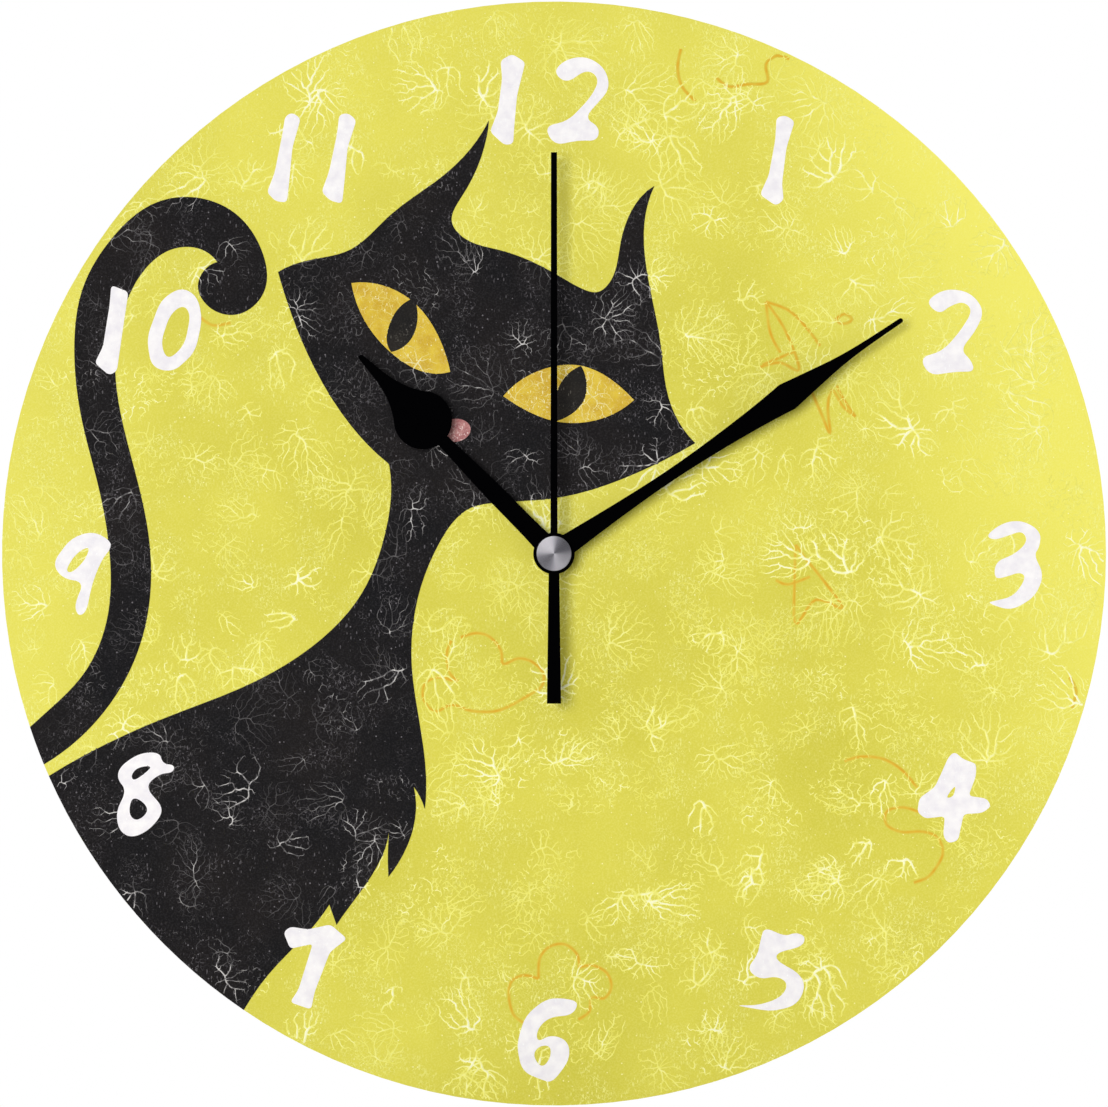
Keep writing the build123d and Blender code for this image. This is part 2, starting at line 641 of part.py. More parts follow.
def rear_bridge():
    """Plate behind the going train, stood off the middle plate by tubes round the case pins."""
    pin_hole = pin_diameter + 2 * pin_clearance
    plate = train_plate(bridge_back, bridge_front, pin_hole)
    plate -= rod(pivot_diameter + 2 * running_clearance, bridge_back, bridge_front)
    plate -= rod(pivot_diameter + 2 * running_clearance, bridge_back, bridge_front, third_arbor)
    plate -= rod(pivot_diameter + 2 * running_clearance, bridge_back, bridge_front, rotor_arbor)
    plate -= rod(knob_shaft_diameter + 4 * running_clearance, bridge_back, bridge_front, knob_arbor)
    plate += rod(post_diameter, bridge_front, second_front, intermediate_arbor)
    for place in pillars:
        plate += tube(pillar_diameter, pin_hole, bridge_front, middle_back, place)
    return plate


# ================================================================ stepping motor
def stator_bosses():
    """Places where the middle plate bears on the stator."""
    upright = (stator_post_left + stator_arm / 2, core_top - 2 * stator_arm)
    foot = (rotor_arbor[0] + stator_ring / 2 + 0.6, core_bottom + stator_arm / 2)
    return [upright, foot]


def stator():
    """Soft-iron sheet: a ring round the magnet and two arms that reach the coil core."""
    right = coil_x + core_width / 2
    sheet = rod(stator_ring, stator_back, stator_front, rotor_arbor)
    sheet += slab(rotor_arbor[0], right, core_bottom, core_bottom + stator_arm, stator_back, stator_front)
    sheet += slab(stator_post_left, stator_post_left + stator_arm, rotor_arbor[1], core_top, stator_back,
                  stator_front)
    sheet += slab(stator_post_left, right, core_top - stator_arm, core_top, stator_back, stator_front)
    gap = slab(stator_post_left + stator_arm / 2, right + 1, core_bottom + stator_arm,
               core_bottom + stator_arm + 1.2, stator_back, stator_front)
    return sheet - gap - rod(magnet_diameter + 2 * air_gap, stator_back, stator_front, rotor_arbor)


def coil_core():
    """Iron bar through the coil, lying across both stator arms."""
    half = core_width / 2
    return slab(coil_x - half, coil_x + half, core_bottom, core_top, stator_front, core_front)


coil_bottom = core_bottom + stator_arm + 0.2
coil_top = core_top - stator_arm - 0.2


def coil_bobbin():
    """Moulded reel for the wire, with a foot that reaches the circuit board."""
    half = bobbin_width / 2
    body = core_width / 2 + bobbin_wall
    thick = stator_sheet / 2 + bobbin_wall
    reel = slab(coil_x - body, coil_x + body, coil_bottom, coil_top, core_depth - thick, core_depth + thick)
    for bottom in (coil_bottom, coil_top - bobbin_flange):
        reel += slab(coil_x - half, coil_x + half, bottom, bottom + bobbin_flange, core_depth - half,
                     core_depth + half)
    foot = bobbin_width / 2 - 1
    reel += slab(coil_x - foot, coil_x + foot, coil_top - bobbin_flange, coil_top, circuit_front,
                 core_depth)
    return reel - coil_core()


def coil_winding():
    """Fine copper wire wound on the bobbin, drawn as one smooth barrel."""
    length = coil_top - coil_bottom - 2 * bobbin_flange
    barrel = Pos(coil_x, -core_depth, (coil_top + coil_bottom) / 2) * Cylinder(winding_diameter / 2, length)
    return barrel - coil_bobbin() - coil_core()


# ================================================================ circuit board and contacts
def circuit_board():
    """L-shaped board: a block beside the coil and a strip along the top wall."""
    right = inner_half - contact_sheet
    top = gear_top - circuit_edge
    board = slab(circuit_left, right, circuit_bottom, top, circuit_back, circuit_front)
    board += slab(-right, circuit_left, circuit_strip_bottom, top, circuit_back, circuit_front)
    return board - rod(pillar_diameter + 2 * pin_clearance, circuit_back, circuit_front, pillars[2])


def chip_blob():
    """Drop of black resin over the clock chip."""
    radius = ((chip_diameter / 2) ** 2 + chip_height**2) / (2 * chip_height)
    ball = Pos(9, -(circuit_back - chip_height + radius), 14) * Sphere(radius)
    return ball & rod(chip_diameter + 1, circuit_back - chip_height, circuit_back, (9, 14))


def quartz_crystal():
    """Small metal can that holds the tuning fork, lying on the circuit board."""
    can = Pos(20.5, -(circuit_back - crystal_diameter / 2), 19.5) * Rot(0, 90, 0)
    return can * Cylinder(crystal_diameter / 2, crystal_length)


def contact_strip(side, top):
    """Flat spring-brass strip along a side wall, from the bay up to the circuit board."""
    outer = side * inner_half
    inner = outer - side * contact_sheet
    left, right = min(outer, inner), max(outer, inner)
    strip = slab(left, right, battery_z, top, contact_back, contact_front)
    half = contact_width / 2
    return strip + slab(left, right, battery_z - half, battery_z + half, contact_back, battery_depth + half)


def positive_contact():
    """Contact plate for the raised end of the cell."""
    return contact_strip(1, circuit_bottom + 8)


def negative_contact():
    """Contact with a bowed leaf that pushes on the flat end of the cell."""
    wall = -inner_half + contact_sheet
    bow = battery_end - wall
    half = contact_width / 2 - 0.5
    radius = (half**2 + bow**2) / (2 * bow)
    middle = battery_end - radius
    leaf = Pos(middle, battery_z) * (Circle(radius) - Circle(radius - contact_sheet))
    leaf &= Pos(wall + bow / 2, battery_z) * Rectangle(bow, 2 * half)
    bowed = solid(leaf, battery_depth - 2, battery_depth + 2)
    return contact_strip(-1, gear_top - circuit_edge) + bowed


def battery_bar(diameter, left, right):
    """Round bar along the length of the battery bay."""
    bar = Pos((left + right) / 2, -battery_depth, battery_z) * Rot(0, 90, 0)
    return bar * Cylinder(diameter / 2, right - left)


def battery_cell():
    """AA cell: steel can with the raised end to the right."""
    shoulder = battery_tip - battery_nub_height
    can = battery_bar(battery_diameter - 2 * sleeve_thickness, battery_end, shoulder)
    return can + battery_bar(battery_nub, shoulder, battery_tip)


def battery_sleeve():
    """Printed plastic jacket round the can."""
    left = battery_end + 0.4
    right = battery_tip - battery_nub_height - 0.3
    jacket = battery_bar(battery_diameter, left, right)
    return jacket - battery_bar(battery_diameter - 2 * sleeve_thickness, left, right)


# ================================================================ motion work
hour_teeth = 40
hour_pinion_teeth = 10
setting_teeth = 36
minute_pinion_teeth = 12
setting_phase = 0.0
hour_pinion_phase = 0.0


def hour_wheel():
    """Wheel and long pipe that carry the hour hand."""
    phase = partner_phase(hour_pinion_teeth, hour_pinion_phase, setting_arbor, hour_teeth, spindle)
    wheel = solid(gear(hour_teeth, hour_pinion_teeth, motion_distance, phase, spindle), hour_wheel_back,
                  hour_wheel_front)
    wheel += rod(hour_pipe_diameter, hour_wheel_back, hour_pipe_front)
    return wheel - rod(minute_pipe_diameter + 2 * running_clearance, hour_wheel_back, hour_pipe_front)


def minute_pipe():
    """Cannon pinion: pinion, pipe for the minute hand and a tail for the centre wheel."""
    phase = partner_phase(setting_teeth, setting_phase, setting_arbor, minute_pinion_teeth, spindle)
    teeth = gear(minute_pinion_teeth, setting_teeth, motion_distance, phase, spindle)
    tail_lip = minute_pipe_diameter + 0.5
    pipe = solid(teeth, setting_back, setting_front)
    pipe += rod(minute_pipe_diameter, centre_back - 0.15, minute_pipe_front)
    pipe += rod(tail_lip, centre_back - 0.15, centre_back)
    return pipe - rod(second_shaft_diameter + 2 * running_clearance, centre_back - 0.15, minute_pipe_front)


def setting_wheel():
    """Idler of the motion work: a wheel driven by the minute pipe and a pinion for the hour wheel."""
    wheel = solid(gear(setting_teeth, minute_pinion_teeth, motion_distance, setting_phase, setting_arbor),
                  setting_back, setting_front)
    pinion = gear(hour_pinion_teeth, hour_teeth, motion_distance, hour_pinion_phase, setting_arbor)
    wheel += solid(pinion, setting_front, hour_wheel_front)
    return wheel - rod(stud_diameter + 2 * running_clearance, setting_back, hour_wheel_front, setting_arbor)


def setting_shaft():
    """Shaft from the knob to its pinion, which meshes with the setting wheel."""
    phase = partner_phase(setting_teeth, setting_phase, setting_arbor, minute_pinion_teeth, knob_arbor)
    teeth = gear(minute_pinion_teeth, setting_teeth, motion_distance, phase, knob_arbor)
    shaft = solid(teeth, setting_back, setting_front)
    return shaft + rod(knob_shaft_diameter, knob_sunk + 0.8, setting_back, knob_arbor)


def setting_knob():
    """Grooved thumb knob, sunk in the cup of the rear cover."""
    back = knob_sunk
    front = knob_sunk + knob_height
    knob = rod(knob_diameter, back, front, knob_arbor)
    groove = knob_diameter * pi / knob_grips / 4
    for number in range(knob_grips):
        knob -= rod(2 * groove, back, front,
                    along(knob_arbor, knob_diameter / 2, 360 * number / knob_grips))
    return knob - rod(knob_shaft_diameter, knob_sunk + 0.8, front, knob_arbor)


def clutch_washer():
    """Thin spring washer that makes the centre wheel slip on the pipe when the hands are set."""
    return tube(2 * minute_pipe_diameter, minute_pipe_diameter, centre_front, centre_front + 0.2)


# ================================================================ going train
centre_teeth = 64
third_teeth = 60
second_teeth = 60
intermediate_teeth = 48
leaf_pinion = 8
intermediate_pinion = 12


def centre_wheel():
    """Wheel that turns once an hour and drives the minute pipe through the clutch."""
    wheel = gear(centre_teeth, leaf_pinion, third_distance, 0, spindle)
    return solid(wheel, centre_back, centre_front) - rod(minute_pipe_diameter + 2 * running_clearance,
                                                         centre_back, centre_front)


def third_wheel():
    """Wheel, pinion and pivots between the seconds and the centre wheel."""
    wheel_phase = partner_phase(leaf_pinion, 0, spindle, third_teeth, third_arbor)
    pinion_phase = partner_phase(centre_teeth, 0, spindle, leaf_pinion, third_arbor)
    wheel = solid(gear(third_teeth, leaf_pinion, third_distance, wheel_phase, third_arbor), third_back,
                  third_front)
    pinion = gear(leaf_pinion, centre_teeth, third_distance, pinion_phase, third_arbor)
    wheel += solid(pinion, third_front, centre_front)
    wheel += rod(pivot_diameter + 0.4, bridge_front + 0.1, third_back, third_arbor)
    wheel += rod(pivot_diameter, bridge_back + 0.1, middle_front - 0.1, third_arbor)
    return wheel


def second_wheel():
    """Wheel and pinion fixed to the seconds shaft."""
    phase = partner_phase(intermediate_pinion, 0, intermediate_arbor, second_teeth, spindle)
    wheel = gear(second_teeth, intermediate_pinion, intermediate_distance, phase, spindle)
    pinion = gear(leaf_pinion, third_teeth, third_distance, 0, spindle)
    moulding = solid(wheel, second_back, second_front) + solid(pinion, second_front, third_front)
    moulding += rod(2.4, intermediate_front, second_back)
    return moulding - rod(second_shaft_diameter, intermediate_front, third_front)


def second_shaft():
    """Steel shaft of the second hand, with a thinner rear pivot."""
    return (rod(second_shaft_diameter, intermediate_back, shaft_front)
            + rod(pivot_diameter, bridge_back + 0.1, intermediate_back))


def intermediate_wheel():
    """Wheel driven by the rotor, with the pinion that turns the second wheel."""
    pinion_hole = post_diameter + 2 * running_clearance
    phase = partner_phase(leaf_pinion, 0, rotor_arbor, intermediate_teeth, intermediate_arbor)
    wheel = gear(intermediate_teeth, leaf_pinion, rotor_distance, phase, intermediate_arbor)
    pinion = gear(intermediate_pinion, second_teeth, intermediate_distance, 0, intermediate_arbor)
    moulding = solid(wheel, intermediate_back, intermediate_front)
    moulding += solid(pinion, intermediate_front, second_front)
    return moulding - rod(pinion_hole, intermediate_back, second_front, intermediate_arbor)


def rotor_pinion():
    """Rotor arbor with its pinion and two pivots."""
    teeth = gear(leaf_pinion, intermediate_teeth, rotor_distance, 0, rotor_arbor)
    arbor = solid(teeth, intermediate_back, intermediate_front)
    arbor += rod(magnet_bore, intermediate_front, magnet_front, rotor_arbor)
    return arbor + rod(pivot_diameter, bridge_back + 0.1, middle_front - 0.1, rotor_arbor)


def rotor_magnet():
    """Two-pole ring magnet on the rotor arbor."""
    return tube(magnet_diameter, magnet_bore, magnet_back, magnet_front, rotor_arbor)


# ================================================================ hands
def blade(*runs):
    """Symmetrical hand outline from runs of (distance from the spindle, width)."""
    right, left = [], []
    for run, following in zip(runs, runs[1:]):
        stations = run + following[:1]
        for side, edges in ((1, right), (-1, left)):
            points = [(side * width / 2, distance) for distance, width in stations]
            edges.append(Line(*points) if len(points) == 2 else Spline(*points))
    first, last = runs[0][0], runs[-1][0]
    base = Line((-first[1] / 2, first[0]), (first[1] / 2, first[0]))
    tip = ThreePointArc((-last[1] / 2, last[0]), (0, last[0] + last[1] / 2), (last[1] / 2, last[0]))
    return make_face(right + left + [base, tip])


def hand_plate(shape, angle, back, thickness, bore):
    """Stamped hand with its round hub, turned to where it points."""
    face = Rot(0, 0, -angle) * (shape + Circle(hand_hub / 2)) - Circle(bore / 2)
    return solid(face, back, back + thickness)


hour_collet_neck = hour_pipe_diameter + 1.2
minute_collet_neck = minute_pipe_diameter + 1.2
second_socket_neck = second_shaft_diameter + 1.2


def hour_hand():
    """Spade hand: a stem, a round bulb and a long point."""
    tip_width = 1.2
    end = hour_hand_length - tip_width / 2
    stem = blade([(2, 4.8), (9, 4.25), (20, 4.1), (28, 3.5)], [(37, 2.8)])
    bulb = Pos(0, 42.3) * Circle(6.6)
    point = blade([(43.9, 12.8), (47.6, 8.55), (50, 5.9), (52, 4.4), (55, 2.9), (59, 1.9)],
                  [(end, tip_width)])
    return hand_plate(stem + bulb + point, hour_hand_angle, hour_hand_back, hand_sheet, hour_collet_neck)


def minute_hand():
    """Lance hand: it narrows to a waist, spreads to two shoulders and runs out to a point."""
    tip_width = 1.1
    end = minute_hand_length - tip_width / 2
    shape = blade([(2, 5.0), (11.3, 3.9), (22.6, 2.9), (31.5, 2.6), (45.3, 3.45), (56, 4.9)],
                  [(63.5, 6.5), (68, 5.1), (72.5, 3.74), (77, 2.5), (86, 1.36)], [(end, tip_width)])
    return hand_plate(shape, minute_hand_angle, minute_hand_back, hand_sheet, minute_collet_neck)


def second_hand():
    """Straight thin hand with a wider counterweight tail."""
    front = make_face(Polyline((-0.8, 0), (-0.68, second_hand_length), (0.68, second_hand_length),
                               (0.8, 0), close=True))
    tail = make_face(Polyline((-1.15, 0), (-1.6, -second_tail_length), (1.6, -second_tail_length),
                              (1.15, 0), close=True))
    blank = front + tail + Circle(hand_hub / 4)
    face = Rot(0, 0, -second_hand_angle) * blank - Circle(second_socket_neck / 2)
    return solid(face, second_hand_back, second_hand_front)


def collet(bore, neck, hand_back, hand_front, top):
    """Pressed tube that joins a hand to its pipe, with a flange behind the hand."""
    body = tube(neck, bore, hand_back - collet_flange, top)
    return body + tube(neck + 1.2, bore, hand_back - collet_flange, hand_back)


def hour_hand_collet():
    """Collet of the hour hand."""
    return collet(hour_pipe_diameter, hour_collet_neck, hour_hand_back, hour_hand_back + hand_sheet,
                  hour_pipe_front)


def minute_hand_collet():
    """Collet of the minute hand."""
    return collet(minute_pipe_diameter, minute_collet_neck, minute_hand_back, minute_hand_back + hand_sheet,
                  minute_pipe_front)


def second_hand_socket():
    """Brass socket pressed on the seconds shaft."""
    return collet(second_shaft_diameter, second_socket_neck, second_hand_back, second_hand_front,
                  shaft_front)


def centre_cap():
    """Spun metal disc over the middle of the second hand, with a shallow coned face."""
    radius = cap_diameter / 2
    hole = second_socket_neck / 2
    rim = 0.3
    profile = make_face(Polyline((hole, 0), (radius, 0), (radius, rim), (hole, cap_height - 0.1),
                                 close=True))
    lid = make_face(Polyline((0, shaft_front - second_hand_front), (hole, shaft_front - second_hand_front),
                             (hole, cap_height - 0.1), (0, cap_height), close=True))
    axis = Axis((0, 0, 0), (0, 1, 0))
    turned = revolve(profile, axis) + revolve(lid, axis)
    return Pos(0, -second_hand_front, 0) * Rot(180, 0, 0) * turned


# ================================================================ write every piece
os.makedirs("parts", exist_ok=True)

numerals = numeral_outlines()
eyes = eye_outlines()
pupils = pupil_outlines()
tongue = tongue_outline()

write(dial_board(), "dial_board")
write(dial_print_film(), "dial_print_film")
write(printed(cat_body_outline() - numerals - eyes - tongue), "cat_body_print")
write(printed(cat_tail_outline() - numerals), "cat_tail_print")
write(printed(eyes - pupils), "cat_eyes_print")
write(printed(pupils), "cat_pupils_print")
write(printed(tongue), "cat_tongue_print")
write(printed(numerals), "numerals_print")
write(dial_gasket(), "dial_gasket")
write(dial_washer(), "dial_washer")
write(ring_nut(), "ring_nut")
write(front_case(), "front_case")
write(hanger_plate(), "hanger_plate")
write(threaded_bush(), "threaded_bush")
write(rear_cover(), "rear_cover")
write(middle_plate(), "middle_plate")
write(rear_bridge(), "rear_bridge")
write(stator(), "stator")
write(coil_core(), "coil_core")
write(coil_bobbin(), "coil_bobbin")
write(coil_winding(), "coil_winding")
write(circuit_board(), "circuit_board")
write(chip_blob(), "chip_blob")
write(quartz_crystal(), "quartz_crystal")
write(positive_contact(), "positive_contact")
write(negative_contact(), "negative_contact")
write(battery_cell(), "battery_cell")
write(battery_sleeve(), "battery_sleeve")
write(hour_wheel(), "hour_wheel")
write(hour_hand(), "hour_hand")
write(hour_hand_collet(), "hour_hand_collet")
write(minute_pipe(), "minute_pipe")
write(minute_hand(), "minute_hand")
write(minute_hand_collet(), "minute_hand_collet")
write(clutch_washer(), "clutch_washer")
write(second_shaft(), "second_shaft")
write(second_wheel(), "second_wheel")
write(second_hand(), "second_hand")
write(second_hand_socket(), "second_hand_socket")
write(centre_cap(), "centre_cap")
write(centre_wheel(), "centre_wheel")
write(third_wheel(), "third_wheel")
write(intermediate_wheel(), "intermediate_wheel")
write(rotor_pinion(), "rotor_pinion")
write(rotor_magnet(), "rotor_magnet")
write(setting_wheel(), "setting_wheel")
write(setting_shaft(), "setting_shaft")
write(setting_knob(), "setting_knob")
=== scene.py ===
# %% [markdown]
# # A cat wall clock, dressed in its finishes
#
# The clock is a flat round board, 250 mm across. A printed sheet covers its front: a
# yellow ground, a black cat whose tail climbs the left side and curls over, and loose
# brush numerals. A quartz movement sits behind the board and turns three black hands.
#
# The solid parts are finished already. This lesson gives each of them a surface, and
# builds what is too fine for the solid model: the frost figures pressed into the print
# and the faint orange chalk drawings under them.

import math

import bpy
import numpy as np
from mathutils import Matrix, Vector
from mathutils.bvhtree import BVHTree


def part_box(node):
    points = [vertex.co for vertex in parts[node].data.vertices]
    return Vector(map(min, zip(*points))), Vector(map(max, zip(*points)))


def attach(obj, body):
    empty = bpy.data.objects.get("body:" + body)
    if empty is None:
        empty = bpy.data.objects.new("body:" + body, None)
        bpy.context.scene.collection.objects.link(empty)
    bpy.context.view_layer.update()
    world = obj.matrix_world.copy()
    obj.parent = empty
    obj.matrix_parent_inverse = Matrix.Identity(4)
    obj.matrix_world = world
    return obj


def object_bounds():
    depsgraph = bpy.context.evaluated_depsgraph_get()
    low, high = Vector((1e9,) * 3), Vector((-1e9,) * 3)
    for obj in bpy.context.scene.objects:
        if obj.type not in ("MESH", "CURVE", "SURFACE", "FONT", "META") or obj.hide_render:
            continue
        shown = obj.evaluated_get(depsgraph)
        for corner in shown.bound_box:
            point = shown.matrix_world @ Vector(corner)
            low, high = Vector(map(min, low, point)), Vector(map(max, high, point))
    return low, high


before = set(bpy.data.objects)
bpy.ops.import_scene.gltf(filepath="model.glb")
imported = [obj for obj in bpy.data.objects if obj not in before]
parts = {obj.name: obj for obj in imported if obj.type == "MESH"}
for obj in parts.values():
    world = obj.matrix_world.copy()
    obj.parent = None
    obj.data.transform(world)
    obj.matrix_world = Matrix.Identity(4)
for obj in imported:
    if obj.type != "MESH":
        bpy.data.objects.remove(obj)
cad_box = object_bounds()
mm = 0.001
print(len(parts), "parts,", [round(x / mm, 1) for x in cad_box[1] - cad_box[0]], "mm overall")

# %% [markdown]
# ## Places to build on
#
# Blender measures in metres, and the clock's own sizes come from the solid parts. The
# dial faces -Y, so a place on it is an x and a z, and a height above it is a step
# towards -Y. Reading the print's front from the parts means that the drawing still
# lies on the print if the board is made thicker.

# %% Sizes read from the parts
dial_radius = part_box("dial_board")[1].x
film_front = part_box("dial_print_film")[0].y
ink_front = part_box("numerals_print")[0].y
hub_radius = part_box("ring_nut")[1].x
print("dial radius, film front and ink front, mm:",
      [round(value / mm, 3) for value in (dial_radius, film_front, ink_front)])

# %% [markdown]
# ## Tools for finishes
#
# A finish is a small graph of nodes. These helpers keep the graphs readable: one adds a
# node and feeds its inputs, and the others make the patterns that most finishes share.
# Every pattern is laid out in Object coordinates and sized in millimetres, so it stays
# fixed to the piece and keeps its true scale wherever the camera goes.

# %% Colours and nodes
def paint(red, green, blue):
    """A paint-card colour (0 to 255) as the linear light that a shader works in."""
    shares = [value / 255 for value in (red, green, blue)]
    return tuple(s / 12.92 if s <= 0.04045 else ((s + 0.055) / 1.055) ** 2.4 for s in shares) + (1.0,)


def put(tree, kind, feeds=None, **options):
    """Adds a node, sets its options, and feeds its inputs with values or other outputs."""
    node = tree.nodes.new(kind)
    for name, value in options.items():
        setattr(node, name, value)
    for name, value in (feeds or {}).items():
        if isinstance(value, bpy.types.NodeSocket):
            tree.links.new(value, node.inputs[name])
        else:
            node.inputs[name].default_value = value
    return node


def new_finish(name, roughness, gloss=0.5, metallic=0.0):
    """A material with its constant values set on the shader itself."""
    finish = bpy.data.materials.new(name)
    finish.use_nodes = True
    shader = finish.node_tree.nodes["Principled BSDF"]
    shader.inputs["Roughness"].default_value = roughness
    shader.inputs["Specular IOR Level"].default_value = gloss
    shader.inputs["Metallic"].default_value = metallic
    return finish, finish.node_tree, shader


def dress(finish, *names):
    """Gives solid parts their finish."""
    for name in names:
        parts[name].material_slots[0].material = finish
    print(finish.name, "on", ", ".join(names))


# %% Patterns
def spot_on(tree, stretch=(1, 1, 1), turn=(0, 0, 0)):
    """Where a point lies on the piece, with the pattern stretched or turned if asked."""
    spot = put(tree, "ShaderNodeTexCoord").outputs["Object"]
    return put(tree, "ShaderNodeMapping",
               {"Vector": spot, "Scale": stretch, "Rotation": turn}).outputs["Vector"]


def mottle(tree, size, detail=3.0, **placing):
    """Soft blotches about this many millimetres wide."""
    return put(tree, "ShaderNodeTexNoise", {"Vector": spot_on(tree, **placing), "Scale": 1 / (size * mm),
                                            "Detail": detail}).outputs["Fac"]


def cells(tree, size, feature, output, **placing):
    """A mosaic of cells about this many millimetres wide."""
    return put(tree, "ShaderNodeTexVoronoi", {"Vector": spot_on(tree, **placing), "Scale": 1 / (size * mm)},
               feature=feature).outputs[output]


def coordinates(tree):
    """Where a point lies on the piece, as the outputs X, Y and Z."""
    return put(tree, "ShaderNodeSeparateXYZ", {"Vector": spot_on(tree)}).outputs


def from_spindle(tree):
    """How far a point is from the axis that the hands turn on."""
    flat = spot_on(tree, stretch=(1, 0, 1))
    return put(tree, "ShaderNodeVectorMath", {0: flat}, operation="LENGTH").outputs["Value"]


# %% Sums with values
def fade(tree, value, low, high, to_low=0.0, to_high=1.0, smooth=False):
    """Stretches a range of values onto another, and holds it at both ends."""
    return put(tree, "ShaderNodeMapRange",
               {"Value": value, "From Min": low, "From Max": high, "To Min": to_low, "To Max": to_high},
               interpolation_type="SMOOTHSTEP" if smooth else "LINEAR").outputs["Result"]


def combine(tree, operation, first, second):
    """One sum, product or comparison of two values."""
    return put(tree, "ShaderNodeMath", {0: first, 1: second}, operation=operation).outputs[0]


def wave(tree, angle, kind="SINE"):
    """The sine or cosine of an angle, which rises and falls between -1 and 1."""
    return put(tree, "ShaderNodeMath", {0: angle}, operation=kind).outputs[0]


def stored(tree, name):
    """A value that a mesh carries at its points."""
    return put(tree, "ShaderNodeAttribute", attribute_name=name).outputs["Fac"]


# %% Colour and relief
def tint(tree, share, under, over):
    """Lays one colour over another by a share."""
    return put(tree, "ShaderNodeMix", {0: share, 6: under, 7: over}, data_type="RGBA").outputs[2]


def shades(tree, value, *stops):
    """A run of colours along a value."""
    ramp = put(tree, "ShaderNodeValToRGB", {"Fac": value})
    band = ramp.color_ramp.elements
    band.remove(band[1])
    band[0].position, band[0].color = stops[0]
    for position, colour in stops[1:]:
        band.new(position).color = colour
    return ramp.outputs["Color"]


def relief(tree, shader, height, depth):
    """Lets light catch on a pattern that stands this many millimetres high."""
    bump = put(tree, "ShaderNodeBump", {"Height": height, "Distance": depth * mm})
    tree.links.new(bump.outputs["Normal"], shader.inputs["Normal"])


def colour_with(tree, shader, colour):
    tree.links.new(colour, shader.inputs["Base Color"])


# %% [markdown]
# ## The printed sheet
#
# The print is a satin film. Its yellow isn't one colour: it is duller and greener in the
# middle, and painted light makes it lighter towards the right, the top and the left rim.
# Over it lies a crackle like frost on a window. The large figures are built as geometry
# further on, and the finest part, specks, dashes and lace under a millimetre, is a pattern,
# because geometry that small would cost millions of faces.
#
# Cell mosaics make all three: a speck is the middle of a cell, a dash is a speck in a
# mosaic that is stretched and turned, and lace is the edges between cells. Soft blotches
# decide where dashes and lace show, so that smooth patches stay between them.

# %% Crackle too fine to build
def specks(tree, size, share, **placing):
    """Fine dots of different sizes; share is how much of a cell the largest one fills."""
    middle = cells(tree, size, "F1", "Distance", **placing)
    pick = put(tree, "ShaderNodeSeparateColor",
               {"Color": cells(tree, size, "F1", "Color", **placing)}).outputs["Red"]
    reach = fade(tree, pick, 0.35, 1.0, 0.0, share)
    return fade(tree, combine(tree, "SUBTRACT", reach, middle), 0.0, 0.06)


def dashes(tree, size, share, patch):
    """Short fine strokes that lean two ways, kept to patches of this many millimetres."""
    leaning = [specks(tree, size, share, stretch=(1, 1, 0.34), turn=(0, lean, 0)) for lean in (0.5, -0.9)]
    return combine(tree, "MULTIPLY", combine(tree, "MAXIMUM", *leaning),
                   fade(tree, mottle(tree, patch, 2.0), 0.42, 0.56))


def lace(tree, size, line, patch):
    """Broken lines of this share of a cell, kept to patches of this many millimetres."""
    edge = combine(tree, "ADD", cells(tree, size, "DISTANCE_TO_EDGE", "Distance"),
                   fade(tree, mottle(tree, size * 0.7, 2.0), 0.3, 0.7, -0.03, 0.10))
    lines = fade(tree, edge, line * 0.4, line, 1.0, 0.0)
    return combine(tree, "MULTIPLY", lines, fade(tree, mottle(tree, patch, 2.0), 0.50, 0.62))


# %% Yellow ground
def yellow_ground():
    finish, tree, shader = new_finish("yellow_print_with_painted_light", roughness=0.5, gloss=0.15)
    ground = shades(tree, mottle(tree, 34, 4.0),
                    (0.30, paint(209, 201, 62)), (0.50, paint(216, 208, 70)), (0.70, paint(224, 216, 78)))
    # Painted light: the print grows lighter towards the right, the top and the left rim, where the light
    # fell brighter.
    place = coordinates(tree)
    corner = combine(tree, "ADD", place["X"], combine(tree, "MULTIPLY", place["Z"], 0.35))
    right = fade(tree, corner, 0.5 * dial_radius, 1.05 * dial_radius, 0.0, 0.80, smooth=True)
    left = fade(tree, place["X"], -0.6 * dial_radius, -1.0 * dial_radius, 0.0, 0.40, smooth=True)
    top = fade(tree, place["Z"], 0.2 * dial_radius, 1.0 * dial_radius, 0.0, 0.25, smooth=True)
    painted_rim_light = combine(tree, "ADD", right, combine(tree, "MAXIMUM", left, top))
    ground = tint(tree, painted_rim_light, ground, paint(246, 239, 104))
    fine = combine(tree, "MAXIMUM", dashes(tree, size=0.55, share=0.36, patch=9),
                   lace(tree, size=0.8, line=0.09, patch=9))
    grain = mottle(tree, 0.4, 2.0)
    dots = specks(tree, size=1.1, share=0.20)
    ground = tint(tree, fade(tree, grain, 0.42, 0.80, 0.0, 0.30), ground, paint(248, 244, 150))
    ground = tint(tree, combine(tree, "MULTIPLY", fine, 0.70), ground, paint(248, 247, 148))
    ground = tint(tree, combine(tree, "MULTIPLY", dots, 0.9), ground, paint(253, 252, 178))
    colour_with(tree, shader, ground)
    relief(tree, shader, combine(tree, "ADD", combine(tree, "ADD", fine, dots), grain), depth=0.02)
    return finish


dress(yellow_ground(), "dial_print_film")

# %% [markdown]
# ## The inks
#
# The cat is a near-black ink, a little brown in places, and the frost shows in it as
# thin grey lines. The eyes are amber, the tongue pink, and the numerals are thick
# white brush marks with a trace of lavender. One function makes every ink: a blotchy
# colour between two tones, with the same crackle laid over it in a colour of its own.

